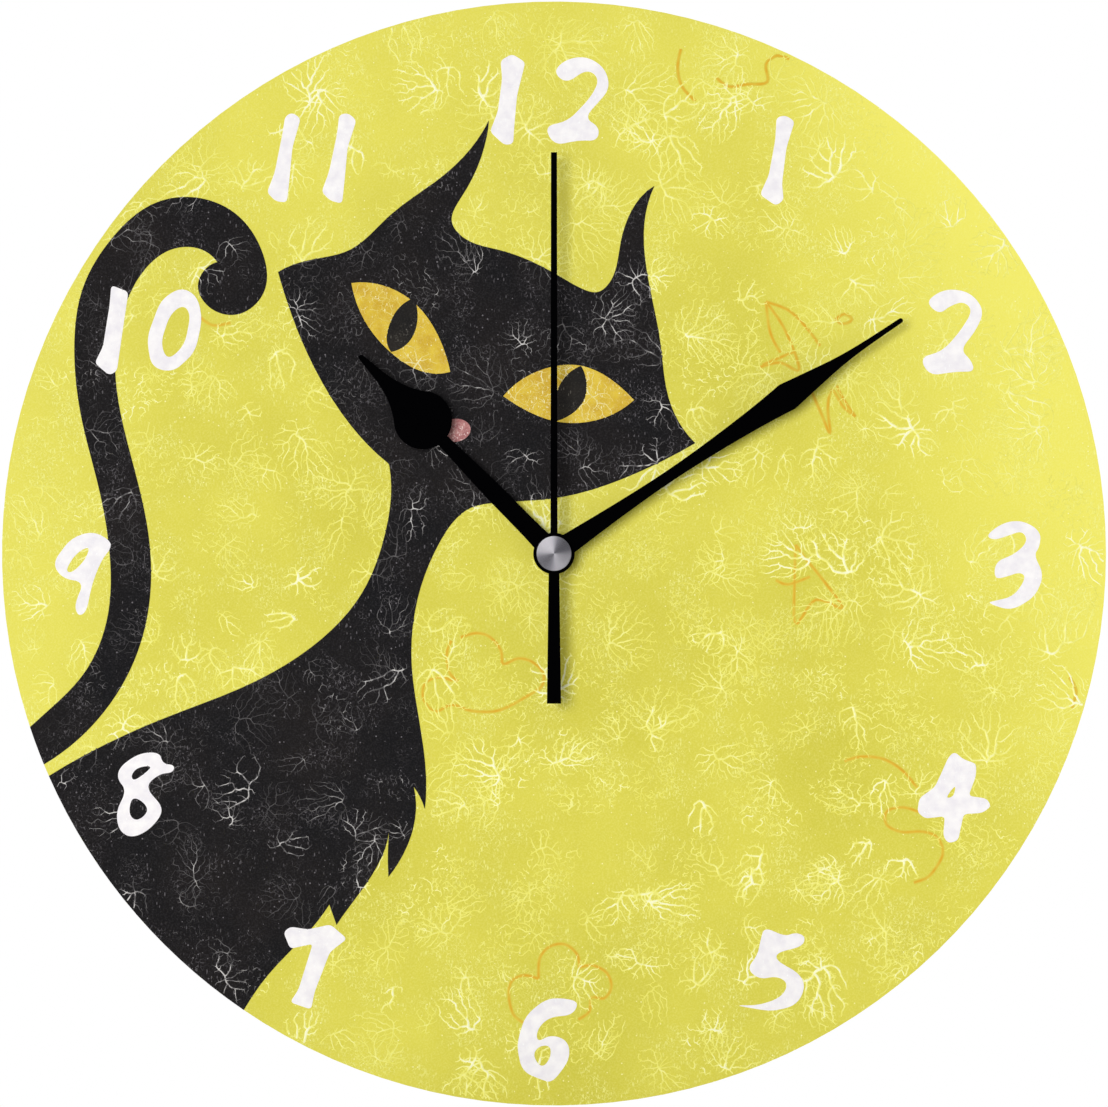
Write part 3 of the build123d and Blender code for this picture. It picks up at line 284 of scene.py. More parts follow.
# %% Inks
def ink(name, dark, light, crackle, crackle_share, gloss, blotch=9.0):
    finish, tree, shader = new_finish(name, 0.5, gloss)
    body = shades(tree, mottle(tree, blotch, 4.0), (0.32, dark), (0.68, light))
    strokes = combine(tree, "MAXIMUM", dashes(tree, size=0.62, share=0.28, patch=9),
                      lace(tree, size=0.9, line=0.06, patch=8))
    lines = combine(tree, "MULTIPLY", strokes, crackle_share * 0.6)
    dots = combine(tree, "MULTIPLY", specks(tree, size=1.15, share=0.20), crackle_share)
    body = tint(tree, lines, body, crackle)
    body = tint(tree, dots, body, crackle)
    grain = mottle(tree, 0.35, 2.0)
    body = tint(tree, fade(tree, grain, 0.45, 0.8, 0.0, 0.12 * crackle_share), body, crackle)
    colour_with(tree, shader, body)
    relief(tree, shader, combine(tree, "ADD", lines, combine(tree, "ADD", dots, grain)), depth=0.015)
    return finish


dress(ink("cat_black_ink", paint(22, 22, 24), paint(31, 28, 28), crackle=paint(128, 124, 128),
          crackle_share=0.75, gloss=0.02, blotch=22), "cat_body_print", "cat_tail_print")
dress(ink("pupil_black_ink", paint(28, 27, 27), paint(40, 37, 34), crackle=paint(120, 116, 108),
          crackle_share=0.7, gloss=0.03), "cat_pupils_print")
dress(ink("amber_ink", paint(206, 168, 40), paint(228, 198, 62), crackle=paint(250, 240, 178),
          crackle_share=1.6, gloss=0.10, blotch=3.0), "cat_eyes_print")
dress(ink("pink_ink", paint(162, 98, 100), paint(198, 142, 138), crackle=paint(240, 212, 206),
          crackle_share=1.6, gloss=0.10, blotch=1.4), "cat_tongue_print")
dress(ink("white_brush_ink", paint(238, 234, 239), paint(252, 249, 249), crackle=paint(255, 255, 255),
          crackle_share=0.8, gloss=0.15, blotch=2.2), "numerals_print")

# %% [markdown]
# ## Growing the frost figures
#
# Each figure is a little tree seen from above: branches start at a point and divide
# until they fill a patch. Drawing some five hundred of them by hand would take days, and
# a noise pattern never branches, so they are grown. Scatter crumbs of food over a patch
# and let every crumb pull the nearest twig towards itself; a crumb that is reached is
# eaten. The method is called space colonisation, and it makes leaf veins too.
#
# A point's thickness comes from how many twigs hang on it, as in a real tree.

# %% Grow one figure
wobble, rounds = 0.32, 46


def grow(draw, roots, food, stride, bite, reach):
    """Points of a branching figure and, for each, the point it grew from. All in mm."""
    points, parents = np.array(roots, float), [-1] * len(roots)
    gaps = np.linalg.norm(food[:, None] - points[None], axis=2)
    nearest, gap = gaps.argmin(1), gaps.min(1)
    for _ in range(rounds):
        pulling = np.flatnonzero(gap < reach)
        if not len(pulling):
            break
        pull = np.zeros_like(points)
        np.add.at(pull, nearest[pulling], (food[pulling] - points[nearest[pulling]]) / gap[pulling, None])
        growing = np.unique(nearest[pulling])
        way = pull[growing] + draw.normal(0, wobble, (len(growing), 2))
        fresh = points[growing] + stride * way / np.linalg.norm(way, axis=1)[:, None]
        first = len(points)
        points = np.vstack([points, fresh])
        parents += growing.tolist()
        gaps = np.linalg.norm(food[:, None] - fresh[None], axis=2)
        closer = gaps.min(1) < gap
        nearest = np.where(closer, first + gaps.argmin(1), nearest)
        gap = np.minimum(gap, gaps.min(1))
        left = gap > bite
        food, nearest, gap = food[left], nearest[left], gap[left]
    return points, parents


def twigs_carried(parents):
    """How many points hang on each point of a figure."""
    carried = np.ones(len(parents))
    for point in range(len(parents) - 1, -1, -1):
        if parents[point] >= 0:
            carried[parents[point]] += carried[point]
    return carried


# %% [markdown]
# ## Three kinds of figure
#
# On the real print no two figures are alike, but they fall into three kinds: open trees
# with a trunk, dense ferns of fine twigs, and patches of short lace with no trunk at all.
# The same growth makes all three. Far reach and few crumbs give a tree, near reach and
# many crumbs a fern, and many starting points at once give lace.

# %% Grow a kind
kinds = {
    # crumbs per square mm, stride, bite, reach, starting points,
    # half width of a twig, growth of the trunk, brightness
    "tree": (1.50, 0.40, 0.46, 2.4, 1, 0.13, 0.046, 0.36),
    "fern": (2.60, 0.30, 0.34, 1.6, 1, 0.11, 0.022, 0.32),
    "lace": (2.60, 0.30, 0.34, 1.0, 20, 0.11, 0.018, 0.29),
}
thickest, faintest = 0.55, 0.22
print("kinds of figure:", ", ".join(kinds))


def scatter(draw, amount, long, wide, turn):
    """Random points in a turned ellipse, in mm."""
    angle, out = draw.uniform(0, 2 * math.pi, amount), np.sqrt(draw.uniform(0, 1, amount))
    flat = np.stack([long * out * np.cos(angle), wide * out * np.sin(angle)], 1)
    spin = np.array([[math.cos(turn), math.sin(turn)], [-math.sin(turn), math.cos(turn)]])
    return flat @ spin


def frost_figure(draw, kind, centre, size):
    """One grown figure: its twigs as pairs of points, and each point's half width and brightness."""
    crumbs, stride, bite, reach, starts, twig, trunk, bright = kinds[kind]
    long, wide = size * draw.uniform(0.85, 1.2), size * draw.uniform(0.5, 0.85)
    turn = draw.uniform(0, math.pi)
    food = scatter(draw, int(crumbs * math.pi * long * wide), long, wide, turn)
    roots = scatter(draw, starts, long * 0.8, wide * 0.8, turn)
    points, parents = grow(draw, roots, food, stride, bite, reach)
    carried = twigs_carried(parents)
    strength = draw.choice([0.7, 1.0, 1.4], p=[0.35, 0.40, 0.25])
    half_width = np.minimum(twig + strength * trunk * (carried - 1) ** 0.5, thickest)
    brightness = np.clip(strength * (bright + 0.085 * np.log(carried)), faintest, 1)
    twigs = [(point, parent) for point, parent in enumerate(parents) if parent >= 0]
    return points + centre, twigs, half_width, brightness


# %% [markdown]
# ## Figures all over the dial
#
# The frost covers the whole print without a seam and without a row that the eye can
# follow. Places drawn purely at random would leave holes and heaps, and a grid would show
# its lines. So the figures stand on a honeycomb, and each is pushed off its place by a
# random part of the spacing, never as much as half. The random numbers start from a fixed
# seed, so that the dial is the same each time.

# %% Scatter the figures
push, rim_gap = 0.42, 1


def frost_over_dial(spacing, seed):
    """Every figure, on a loose honeycomb so that none are far apart and none line up."""
    draw = np.random.default_rng(seed)
    everything = [], [], [], []
    reach, row_step = dial_radius / mm, spacing * 0.866
    for row, z in enumerate(np.arange(-reach, reach, row_step)):
        for x in np.arange(-reach + spacing / 2 * (row % 2), reach, spacing):
            centre = np.array([x, z]) + draw.uniform(-push, push, 2) * spacing
            kind = draw.choice(["tree", "fern", "lace"], p=[0.26, 0.44, 0.30])
            size = draw.uniform(4.0, 8.5) * (1 + 0.1 * (x + z) / reach)
            if np.hypot(*centre) > reach - rim_gap:
                continue
            points, twigs, half_width, brightness = frost_figure(draw, kind, centre, size)
            first = sum(map(len, everything[0]))
            for store, values in zip(everything, (points, np.array(twigs) + first, half_width, brightness)):
                store.append(values)
    return [np.concatenate(values) for values in everything]


frost_points, frost_twigs, frost_widths, frost_light = frost_over_dial(spacing=10.8, seed=7)
print(len(frost_points), "points and", len(frost_twigs), "twigs of frost")

# %% [markdown]
# ## Which colour lies under a twig
#
# A figure runs on from the yellow into the cat, where it turns from pale yellow to grey,
# so each twig has to know what it lies on. A ray cast at the dial from the front tells:
# the first part that it meets is what shows there. Twigs on the numerals, the pupils or
# the tongue are left out, and so are those under the nut and at the very rim.

# %% Sort the twigs
printed = ["dial_print_film", "cat_body_print", "cat_tail_print", "cat_eyes_print", "cat_pupils_print",
           "cat_tongue_print", "numerals_print"]


def print_tree():
    """All printed parts as one searchable surface, and the part that each face belongs to."""
    corners, faces, owner = [], [], []
    for name in printed:
        mesh, first = parts[name].data, len(corners)
        corners += [v.co for v in mesh.vertices]
        faces += [[first + v for v in polygon.vertices] for polygon in mesh.polygons]
        owner += [name] * len(mesh.polygons)
    return BVHTree.FromPolygons(corners, faces), owner


surface, owner = print_tree()
in_front = Vector((0, film_front * 2, 0))
bare_rim = 0.6 * mm


def lies_on(x, z):
    """The name of the printed part that shows at a place on the dial, given in mm."""
    if not hub_radius < math.hypot(x, z) * mm < dial_radius - bare_rim:
        return None
    face = surface.ray_cast(in_front + Vector((x * mm, 0, z * mm)), Vector((0, 1, 0)))[2]
    return owner[face] if face is not None else None


middles = frost_points[frost_twigs].mean(1)
under = np.array([lies_on(x, z) or "" for x, z in middles])
for name in printed:
    print(name, int((under == name).sum()), "twigs")

# %% [markdown]
# ## Lines into ribbons
#
# The figures are only edges so far. A Geometry Nodes tree turns them into low ribbons
# with a three-sided section: flat below, sunk a little into the film, and a ridge along
# the middle that catches the light as the real pressed line does. Its faces are shaded
# flat, because smooth shading round so sharp an edge would darken the sides. The ridge
# carries the value 1 and the two feet the value 0, so that a finish can fade a line out
# at its sides.
#
# The same tree draws the chalk lines, with a flatter section.

# %% Ribbon tree
def ribbon_tree():
    tree = bpy.data.node_groups.new("ribbons_on_the_print", "GeometryNodeTree")
    for name, kind in (("Geometry", "Geometry"), ("Ridge", "Float"), ("Finish", "Material")):
        tree.interface.new_socket(name, in_out="INPUT", socket_type="NodeSocket" + kind)
    tree.interface.new_socket("Geometry", in_out="OUTPUT", socket_type="NodeSocketGeometry")
    given = put(tree, "NodeGroupInput").outputs
    width = put(tree, "GeometryNodeInputNamedAttribute", {"Name": "half_width"},
                data_type="FLOAT").outputs[0]
    lines = put(tree, "GeometryNodeMeshToCurve", {"Mesh": given["Geometry"]}).outputs[0]
    lines = put(tree, "GeometryNodeSetCurveNormal", {"Curve": lines, "Normal": (0, -1, 0)},
                mode="FREE").outputs[0]
    section = put(tree, "GeometryNodeCurvePrimitiveCircle", {"Resolution": 3}, mode="RADIUS").outputs[0]
    first = put(tree, "GeometryNodeInputIndex").outputs[0]
    top = put(tree, "FunctionNodeCompare", {2: first, 3: 0}, data_type="INT", operation="EQUAL").outputs[0]
    section = put(tree, "GeometryNodeStoreNamedAttribute",
                  {"Geometry": section, "Name": "ridge", "Value": top}, data_type="FLOAT",
                  domain="POINT").outputs[0]
    flat = put(tree, "ShaderNodeCombineXYZ", {"X": given["Ridge"], "Y": 1.0, "Z": 1.0}).outputs[0]
    section = put(tree, "GeometryNodeTransform", {"Geometry": section, "Scale": flat}).outputs[0]
    body = put(tree, "GeometryNodeCurveToMesh", {"Curve": lines, "Profile Curve": section, "Scale": width,
                                                 "Fill Caps": True}).outputs[0]
    body = put(tree, "GeometryNodeSetShadeSmooth", {"Geometry": body, "Shade Smooth": False}).outputs[0]
    body = put(tree, "GeometryNodeRealizeInstances", {"Geometry": body}).outputs[0]
    body = put(tree, "GeometryNodeSetMaterial", {"Geometry": body, "Material": given["Finish"]}).outputs[0]
    put(tree, "NodeGroupOutput", {"Geometry": body})
    return tree


ribbons = ribbon_tree()
print(len(ribbons.nodes), "nodes in the ribbon tree")


# %% From edges to a finished piece
def through_tree(name, mesh, tree, inputs):
    """Runs a mesh through a tree and keeps the plain mesh that comes out."""
    rough = bpy.data.objects.new(name + "_lines", mesh)
    bpy.context.scene.collection.objects.link(rough)
    modifier = rough.modifiers.new("tree", "NODES")
    modifier.node_group = tree
    sockets = {item.name: item.identifier for item in tree.interface.items_tree if item.in_out == "INPUT"}
    for socket, value in inputs.items():
        modifier[sockets[socket]] = value
    seen = rough.evaluated_get(bpy.context.evaluated_depsgraph_get())
    piece = bpy.data.objects.new(name, bpy.data.meshes.new_from_object(seen))
    bpy.data.objects.remove(rough)
    bpy.context.scene.collection.objects.link(piece)
    return piece


def ribbon_piece(name, points, edges, half_width, light, height, ridge, finish):
    """Ribbons along edges that lie on the print; points in mm, height as a place on Y."""
    used, edges = np.unique(edges, return_inverse=True)
    edges = edges.reshape(-1, 2)
    flat = points[used] * mm
    mesh = bpy.data.meshes.new(name + "_lines")
    mesh.from_pydata(np.stack([flat[:, 0], np.full(len(flat), height), flat[:, 1]], 1).tolist(),
                     edges.tolist(), [])
    for attribute, values in (("half_width", half_width[used] * mm), ("light", light[used])):
        at_points = mesh.attributes.new(attribute, "FLOAT", "POINT").data
        at_points.foreach_set("value", values.astype(np.float32))
    piece = through_tree(name, mesh, ribbons, {"Ridge": ridge, "Finish": finish})
    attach(piece, "housing")
    print(name, sum(len(p.vertices) - 2 for p in piece.data.polygons), "triangles")
    return piece


# %% [markdown]
# ## The colour of a frost line
#
# Thick trunks are almost white and thin twigs only a shade lighter than the ground. The
# growth stored that as a value at every point, and the section stored how near the ridge
# a point is. Their product picks the colour from a run of shades.

# %% Frost finishes
def frost_finish(name, *stops):
    finish, tree, shader = new_finish(name, roughness=0.45, gloss=0.3)
    light = stored(tree, "light")
    ridge = stored(tree, "ridge")
    patchy = fade(tree, mottle(tree, 2.2, 3.0), 0.35, 0.65, 0.45, 1.25)
    level = combine(tree, "MULTIPLY", combine(tree, "MULTIPLY", light, patchy),
                    fade(tree, ridge, 0, 1, 0.30, 1.0))
    colour_with(tree, shader, shades(tree, level, *stops))
    return finish


frost_on_yellow = frost_finish("frost_on_yellow", (0.0, paint(226, 219, 88)), (0.20, paint(238, 233, 108)),
                               (0.50, paint(249, 246, 142)), (0.90, paint(255, 255, 214)))
frost_on_black = frost_finish("frost_on_black", (0.0, paint(34, 32, 33)), (0.25, paint(54, 52, 53)),
                              (0.55, paint(104, 101, 102)), (0.85, paint(214, 211, 208)))
frost_on_amber = frost_finish("frost_on_amber", (0.0, paint(214, 184, 62)), (0.30, paint(236, 216, 118)),
                              (0.70, paint(252, 244, 200)))

# %% Build the frost
frost_lift, ink_lift, frost_ridge = 0.010 * mm, 0.005 * mm, 0.22


def frost_piece(name, chosen, height, finish, thinner=1.0):
    """The frost twigs for which chosen is true, as one piece."""
    return ribbon_piece(name, frost_points, frost_twigs[chosen], frost_widths * thinner, frost_light,
                        height, frost_ridge, finish)


band = dial_radius / mm / 4
sides, rows = {"left": -1, "right": 1}, {"top": 3, "upper": 1, "lower": -1, "bottom": -3}
for side, way in sides.items():
    for row, level in rows.items():
        here = (middles[:, 0] * way > 0) & (np.abs(middles[:, 1] - level * band) <= band)
        frost_piece(f"frost_on_yellow_{row}_{side}", here & (under == "dial_print_film"),
                    film_front - frost_lift, frost_on_yellow)
on_cat = np.isin(under, ["cat_body_print", "cat_tail_print"])
frost_piece("frost_on_cat", on_cat, ink_front - ink_lift, frost_on_black,
            thinner=0.55)
frost_piece("frost_on_eyes", under == "cat_eyes_print", ink_front - ink_lift, frost_on_amber,
            thinner=0.6)

# %% [markdown]
# ## Chalk drawings
#
# Faint orange lines show through the yellow: two clouds, a paper kite, a zigzag, a star
# and a few curls, as a child might chalk them. Each is a short list of places that the
# line passes, in hundredths of the dial's radius. A curve through them (Catmull-Rom)
# makes the line smooth, and the ribbon tree makes it a band that lies under the frost.

# %% Chalk strokes
chalk_strokes = [
    [(-17, -15.2), (-14, -14.4), (-11.5, -15.2), (-9.6, -17.6), (-9.2, -20), (-6.5, -19), (-4, -19.6),
     (-2, -21.6), (-2.2, -24), (-4.5, -25.6), (-8, -27.6), (-11, -28.6), (-15, -28.5), (-18.5, -27.4),
     (-21.5, -28.6), (-23.6, -26.5), (-23.4, -23.6), (-21, -22.4), (-18.4, -23)],
    [(-17.4, -23.2), (-19, -21.4), (-19.4, -18), (-18.6, -15.8)],
    [(-5.6, -85), (-7.4, -83.4), (-8.2, -80), (-7.6, -77.4), (-5.4, -76.4), (-2.8, -77)],
    [(-2.8, -77), (-2.6, -73.4), (-0.8, -71.2), (2, -70.8), (4.2, -72.6), (4.6, -75)],
    [(4.6, -75), (7, -74.6), (9.6, -76), (10.4, -78.6), (9, -80.6), (6.8, -80.4), (6.4, -83), (4.4, -84.4)],
    [(38.4, 45.6), (41.8, 40.6), (44.4, 33.4), (41, 34.6), (37.4, 33.8)],
    [(38.4, 45.6), (39.2, 40), (41, 36.4)],
    [(38.4, 45.6), (42.6, 44), (46, 40.6), (48.2, 37.6)],
    [(37.8, 34.2), (43.6, 36.6)],
    [(51, 42.4), (52.6, 43.4), (54, 42.4), (52.4, 41.6), (51, 42.4)],
    [(46.4, 30), (48.4, 25.4), (50, 21.8), (49.6, 26.4), (50.4, 29.6), (52.4, 26.6), (54.6, 24.8)],
    [(54.6, 24.8), (52.4, 28), (51.2, 30.4)],
    [(43.8, 1.6), (43.6, -4.6), (43.8, -12.6), (47.4, -8.4), (52.2, -9.8), (48.6, -4.6), (45.8, -1.2),
     (43.8, 1.6)],
    [(40.2, -4.8), (42.4, -5.6), (46.4, -4.2)],
    [(52.6, -37.6), (55.6, -36.8), (59.6, -37.2), (63, -39.2), (65.8, -42.4)],
    [(66.6, -47), (63.4, -46), (60.4, -46.6), (60.2, -49), (62.8, -50.4), (67, -50.4), (69.6, -51.6),
     (70.4, -54.6), (68, -58.4), (65.2, -59.6)],
    [(23, 91.4), (22.4, 88), (23.2, 84.6), (25.6, 82)],
    [(29.4, 86.2), (31.6, 84.6), (35, 85), (38.6, 85.4), (38.4, 88.6), (40.4, 90.2), (42.6, 89.6)],
    [(93.4, -22.4), (94.6, -25), (93.8, -28)],
    [(-65, 43.6), (-62, 41.4), (-58.6, 41.8)],
]


def smooth_line(places, spacing):
    """Points along a Catmull-Rom curve through places, about this far apart."""
    knots = np.array([places[0]] + places + [places[-1]], float)
    line = []
    for before, start, end, after in zip(knots, knots[1:], knots[2:], knots[3:]):
        count = max(2, math.ceil(np.linalg.norm(end - start) / spacing))
        for t in np.arange(count)[:, None] / count:
            line.append(0.5 * (2 * start + (end - before) * t
                               + (2 * before - 5 * start + 4 * end - after) * t**2
                               + (3 * start - before - 3 * end + after) * t**3))
    return np.vstack(line + [knots[-1:]])


print(len(chalk_strokes), "chalk strokes")


# %% Chalk finish and piece
chalk_lift, chalk_ridge, chalk_half_width = 0.004 * mm, 0.03, 0.62


def chalk_finish():
    finish, tree, shader = new_finish("orange_chalk", roughness=0.6, gloss=0.1)
    ridge = stored(tree, "ridge")
    worn = fade(tree, mottle(tree, 2.5, 4.0), 0.30, 0.65, 0.40, 1.0)
    level = combine(tree, "MULTIPLY", worn, fade(tree, ridge, 0, 1, smooth=True))
    colour_with(tree, shader, shades(tree, level, (0.0, paint(221, 210, 82)), (0.40, paint(224, 194, 66)),
                                     (1.0, paint(224, 168, 40))))
    return finish


def chalk_drawings():
    unit = dial_radius / mm / 100
    lines = [smooth_line(stroke, spacing=0.8) * unit for stroke in chalk_strokes]
    points, edges = np.vstack(lines), []
    first = 0
    for line in lines:
        edges += [(first + step, first + step + 1) for step in range(len(line) - 1)]
        first += len(line)
    edges = np.array(edges)
    shown = np.array([lies_on(*place) == "dial_print_film" for place in points[edges].mean(1)])
    width, light = np.full(len(points), chalk_half_width), np.ones(len(points))
    return ribbon_piece("chalk_drawings", points, edges[shown], width, light, film_front - chalk_lift,
                        chalk_ridge, chalk_finish())


chalk_drawings()

# %% [markdown]
# ## Black hands
#
# The hands are stamped from thin aluminium and sprayed a matt black so deep that they
# read as cut-outs. A plain black would do from far away. A trace of grain in the colour
# and the surface keeps them from looking like holes in the dial from close by.

# %% Black hands
def hand_paint():
    finish, tree, shader = new_finish("hand_paint", roughness=0.6, gloss=0.006)
    grain = mottle(tree, 0.25, 2.0)
    colour_with(tree, shader, shades(tree, grain, (0.3, paint(0, 0, 1)), (0.8, paint(2, 2, 3))))
    relief(tree, shader, grain, depth=0.004)
    return finish


dress(hand_paint(), "hour_hand", "minute_hand", "second_hand")


# %% [markdown]
# ## Spun cap
#
# Over the hub sits a small spun cap. Spinning leaves rings too fine to see, and they
# stretch every reflection into a wedge that points at the middle. Blender has a control
# for exactly that: an anisotropic shader whose tangent runs round the axis.
#
# A dome as small as this mirrors the whole room at once, and the wedges drown in it. So
# the light meets it as if it were flatter, and a painted reflection makes its base colour
# darker in two opposite wedges and lighter in the other two.

# %% Spun metal
ring_pitch = 0.12 * mm


def spun_cap_painted_reflection():
    finish, tree, shader = new_finish("spun_cap_painted_reflection", roughness=0.34, gloss=0.5, metallic=1.0)
    shader.inputs["Anisotropic"].default_value = 0.85
    place = coordinates(tree)
    round_it = combine(tree, "ARCTAN2", place["X"], place["Z"])
    rings = wave(tree, combine(tree, "MULTIPLY", from_spindle(tree), 2 * math.pi / ring_pitch))
    # Painted reflection: the base colour is lighter in two opposite wedges and darker in the other two, the
    # way the spun rings reflect the light.
    from_wedge = combine(tree, "SUBTRACT", round_it, math.pi / 4)
    painted_reflection_wedges = wave(tree, combine(tree, "MULTIPLY", from_wedge, 2), "COSINE")
    metal = shades(tree, fade(tree, painted_reflection_wedges, -1, 1), (0.0, paint(120, 118, 122)),
                   (0.35, paint(106, 104, 108)), (0.75, paint(52, 50, 56)), (1.0, paint(28, 26, 32)))
    colour_with(tree, shader, tint(tree, fade(tree, rings, -1, 1, 0.0, 0.10), metal, paint(235, 235, 238)))
    tangent = put(tree, "ShaderNodeTangent", direction_type="RADIAL", axis="Y").outputs[0]
    tree.links.new(tangent, shader.inputs["Tangent"])
    leaning = put(tree, "ShaderNodeNewGeometry").outputs["Normal"]
    flatter = put(tree, "ShaderNodeVectorMath", {0: leaning, 1: (0.15, 1, 0.15)},
                  operation="MULTIPLY").outputs[0]
    flatter = put(tree, "ShaderNodeVectorMath", {0: flatter}, operation="NORMALIZE").outputs[0]
    bump = put(tree, "ShaderNodeBump", {"Height": rings, "Distance": 0.002 * mm, "Normal": flatter})
    tree.links.new(bump.outputs["Normal"], shader.inputs["Normal"])
    return finish


dress(spun_cap_painted_reflection(), "centre_cap")

# %% [markdown]
# ## Turned, rolled and drawn metal
#
# The small metal parts of a movement come off a lathe or out of a press. Lathe work has
# fine rings along its length, and sheet has a faint grain from the rolls. Both are noise
# stretched hard in one direction, and it changes the roughness a little as well as the
# colour, which is what makes metal look handled.

# %% Metals
def metal(name, colour, bright, roughness, stretch, grain=0.35):
    finish, tree, shader = new_finish(name, roughness, 0.5, 1.0)
    marks = mottle(tree, grain, 3.0, stretch=stretch)
    stains = mottle(tree, 4.0, 3.0)
    colour_with(tree, shader, tint(tree, fade(tree, stains, 0.3, 0.7, 0.0, 0.35),
                                   shades(tree, marks, (0.35, colour), (0.65, bright)), colour))
    tree.links.new(fade(tree, marks, 0.3, 0.7, roughness * 0.8, roughness * 1.25),
                   shader.inputs["Roughness"])
    relief(tree, shader, marks, depth=0.004)
    return finish


lathe, rolled_up, rolled_across = (0.15, 3.0, 0.15), (3.0, 1.0, 0.1), (0.1, 1.0, 3.0)
dress(metal("turned_brass", paint(190, 150, 78), paint(226, 190, 116), roughness=0.32, stretch=lathe),
      "threaded_bush", "second_hand_socket")
dress(metal("steel_washer", paint(150, 150, 152), paint(196, 196, 198), roughness=0.35,
            stretch=rolled_across), "dial_washer", "clutch_washer")
dress(metal("ground_shaft", paint(176, 176, 178), paint(214, 214, 216), roughness=0.25, stretch=lathe),
      "second_shaft")
dress(metal("soft_iron", paint(120, 120, 122), paint(160, 160, 160), roughness=0.48, stretch=rolled_up),
      "stator", "coil_core")
dress(metal("sintered_magnet", paint(58, 58, 62), paint(84, 84, 88), roughness=0.6, stretch=(1, 1, 1),
            grain=0.2), "rotor_magnet")
dress(metal("crystal_can", paint(190, 190, 192), paint(222, 222, 224), roughness=0.2,
            stretch=rolled_across), "quartz_crystal")
dress(metal("plated_contact", paint(186, 180, 160), paint(220, 214, 196), roughness=0.3,
            stretch=rolled_up), "positive_contact", "negative_contact")
dress(metal("cell_can", paint(186, 186, 190), paint(220, 220, 222), roughness=0.28, stretch=rolled_up),
      "battery_cell")


def blackened():
    finish, tree, shader = new_finish("blackened_steel", roughness=0.5, gloss=0.05)
    marks = mottle(tree, 0.3, 2.0, stretch=lathe)
    colour_with(tree, shader, shades(tree, marks, (0.3, paint(4, 4, 4)), (0.8, paint(14, 14, 14))))
    relief(tree, shader, marks, depth=0.004)
    return finish


dress(blackened(), "ring_nut", "hour_hand_collet", "minute_hand_collet")

# %% [markdown]
# ## Moulded plastic
#
# The movement's case is black plastic with the fine, even texture of a spark-eroded
# mould; its gears are bare white acetal, smoother and slightly see-through. One function
# serves them all, with the size and depth of the grain as its main difference.

# %% Plastics
def moulded(name, dark, light, roughness, grain, depth, gloss=0.4):
    finish, tree, shader = new_finish(name, roughness, gloss)
    texture = cells(tree, grain, "SMOOTH_F1", "Distance")
    flow = mottle(tree, 7.0, 4.0)
    colour_with(tree, shader, tint(tree, fade(tree, texture, 0.1, 0.8, 0.0, 0.35),
                                   shades(tree, flow, (0.35, dark), (0.65, light)), light))
    tree.links.new(fade(tree, flow, 0.3, 0.7, roughness * 0.88, roughness * 1.12),
                   shader.inputs["Roughness"])
    relief(tree, shader, texture, depth)
    return finish


dress(moulded("textured_black_case", paint(26, 26, 27), paint(36, 36, 38), roughness=0.55,
              grain=0.45, depth=0.03), "front_case", "hanger_plate")
dress(moulded("textured_black_cover", paint(31, 31, 32), paint(43, 43, 45), roughness=0.5,
              grain=0.35, depth=0.025), "rear_cover")
dress(moulded("white_knob_plastic", paint(222, 221, 214), paint(236, 235, 230), roughness=0.4,
              grain=0.6, depth=0.008), "setting_knob")
dress(moulded("white_gear_acetal", paint(226, 225, 216), paint(240, 239, 233), roughness=0.38,
              grain=0.8, depth=0.004),
      "hour_wheel", "minute_pipe", "second_wheel", "centre_wheel", "third_wheel", "intermediate_wheel",
      "rotor_pinion", "setting_wheel", "setting_shaft")
dress(moulded("white_plate_acetal", paint(214, 213, 205), paint(230, 229, 222), roughness=0.45,
              grain=0.6, depth=0.01), "middle_plate", "rear_bridge")
dress(moulded("red_reel_plastic", paint(150, 40, 34), paint(172, 54, 46), roughness=0.45,
              grain=0.6, depth=0.01), "coil_bobbin")
dress(moulded("soft_black_rubber", paint(24, 24, 24), paint(38, 38, 38), roughness=0.8,
              grain=0.3, depth=0.02, gloss=0.25), "dial_gasket")
dress(moulded("black_resin", paint(10, 10, 11), paint(18, 18, 20), roughness=0.25,
              grain=1.5, depth=0.01, gloss=0.5), "chip_blob")


# %% [markdown]
# ## Fibreboard
#
# The board is hard fibreboard with a white face, and its sawn edge shows the pressed
# fibres in layers. Face and edge could be two materials, but the border between them is a
# plain circle, so one material asks how far a point is from the middle and picks.

# %% Fibreboard
face_to_rim, rim_blur = 0.40 * mm, 0.02 * mm


def fibreboard():
    finish, tree, shader = new_finish("white_faced_fibreboard", roughness=0.6, gloss=0.3)
    fibres = mottle(tree, 0.9, 5.0, stretch=(0.25, 6.0, 0.25))
    flecks = mottle(tree, 0.5, 4.0)
    rim = fade(tree, from_spindle(tree), dial_radius - face_to_rim - rim_blur,
               dial_radius - face_to_rim + rim_blur)
    face = shades(tree, flecks, (0.3, paint(232, 230, 224)), (0.7, paint(244, 243, 239)))
    edge = shades(tree, fibres, (0.3, paint(206, 196, 176)), (0.7, paint(230, 222, 206)))
    colour_with(tree, shader, tint(tree, rim, face, edge))
    relief(tree, shader, fibres, depth=0.02)
    return finish


dress(fibreboard(), "dial_board")


# %% [markdown]
# ## Wound copper
#
# The coil is fine enamelled wire, turn beside turn. Thousands of turns as geometry would
# be wasted on a part inside the case, so a wave along the coil's length bumps each turn,
# and paints a highlight on its top and shade in the gap beside it.

# %% Copper wire
wire_pitch = 0.16 * mm


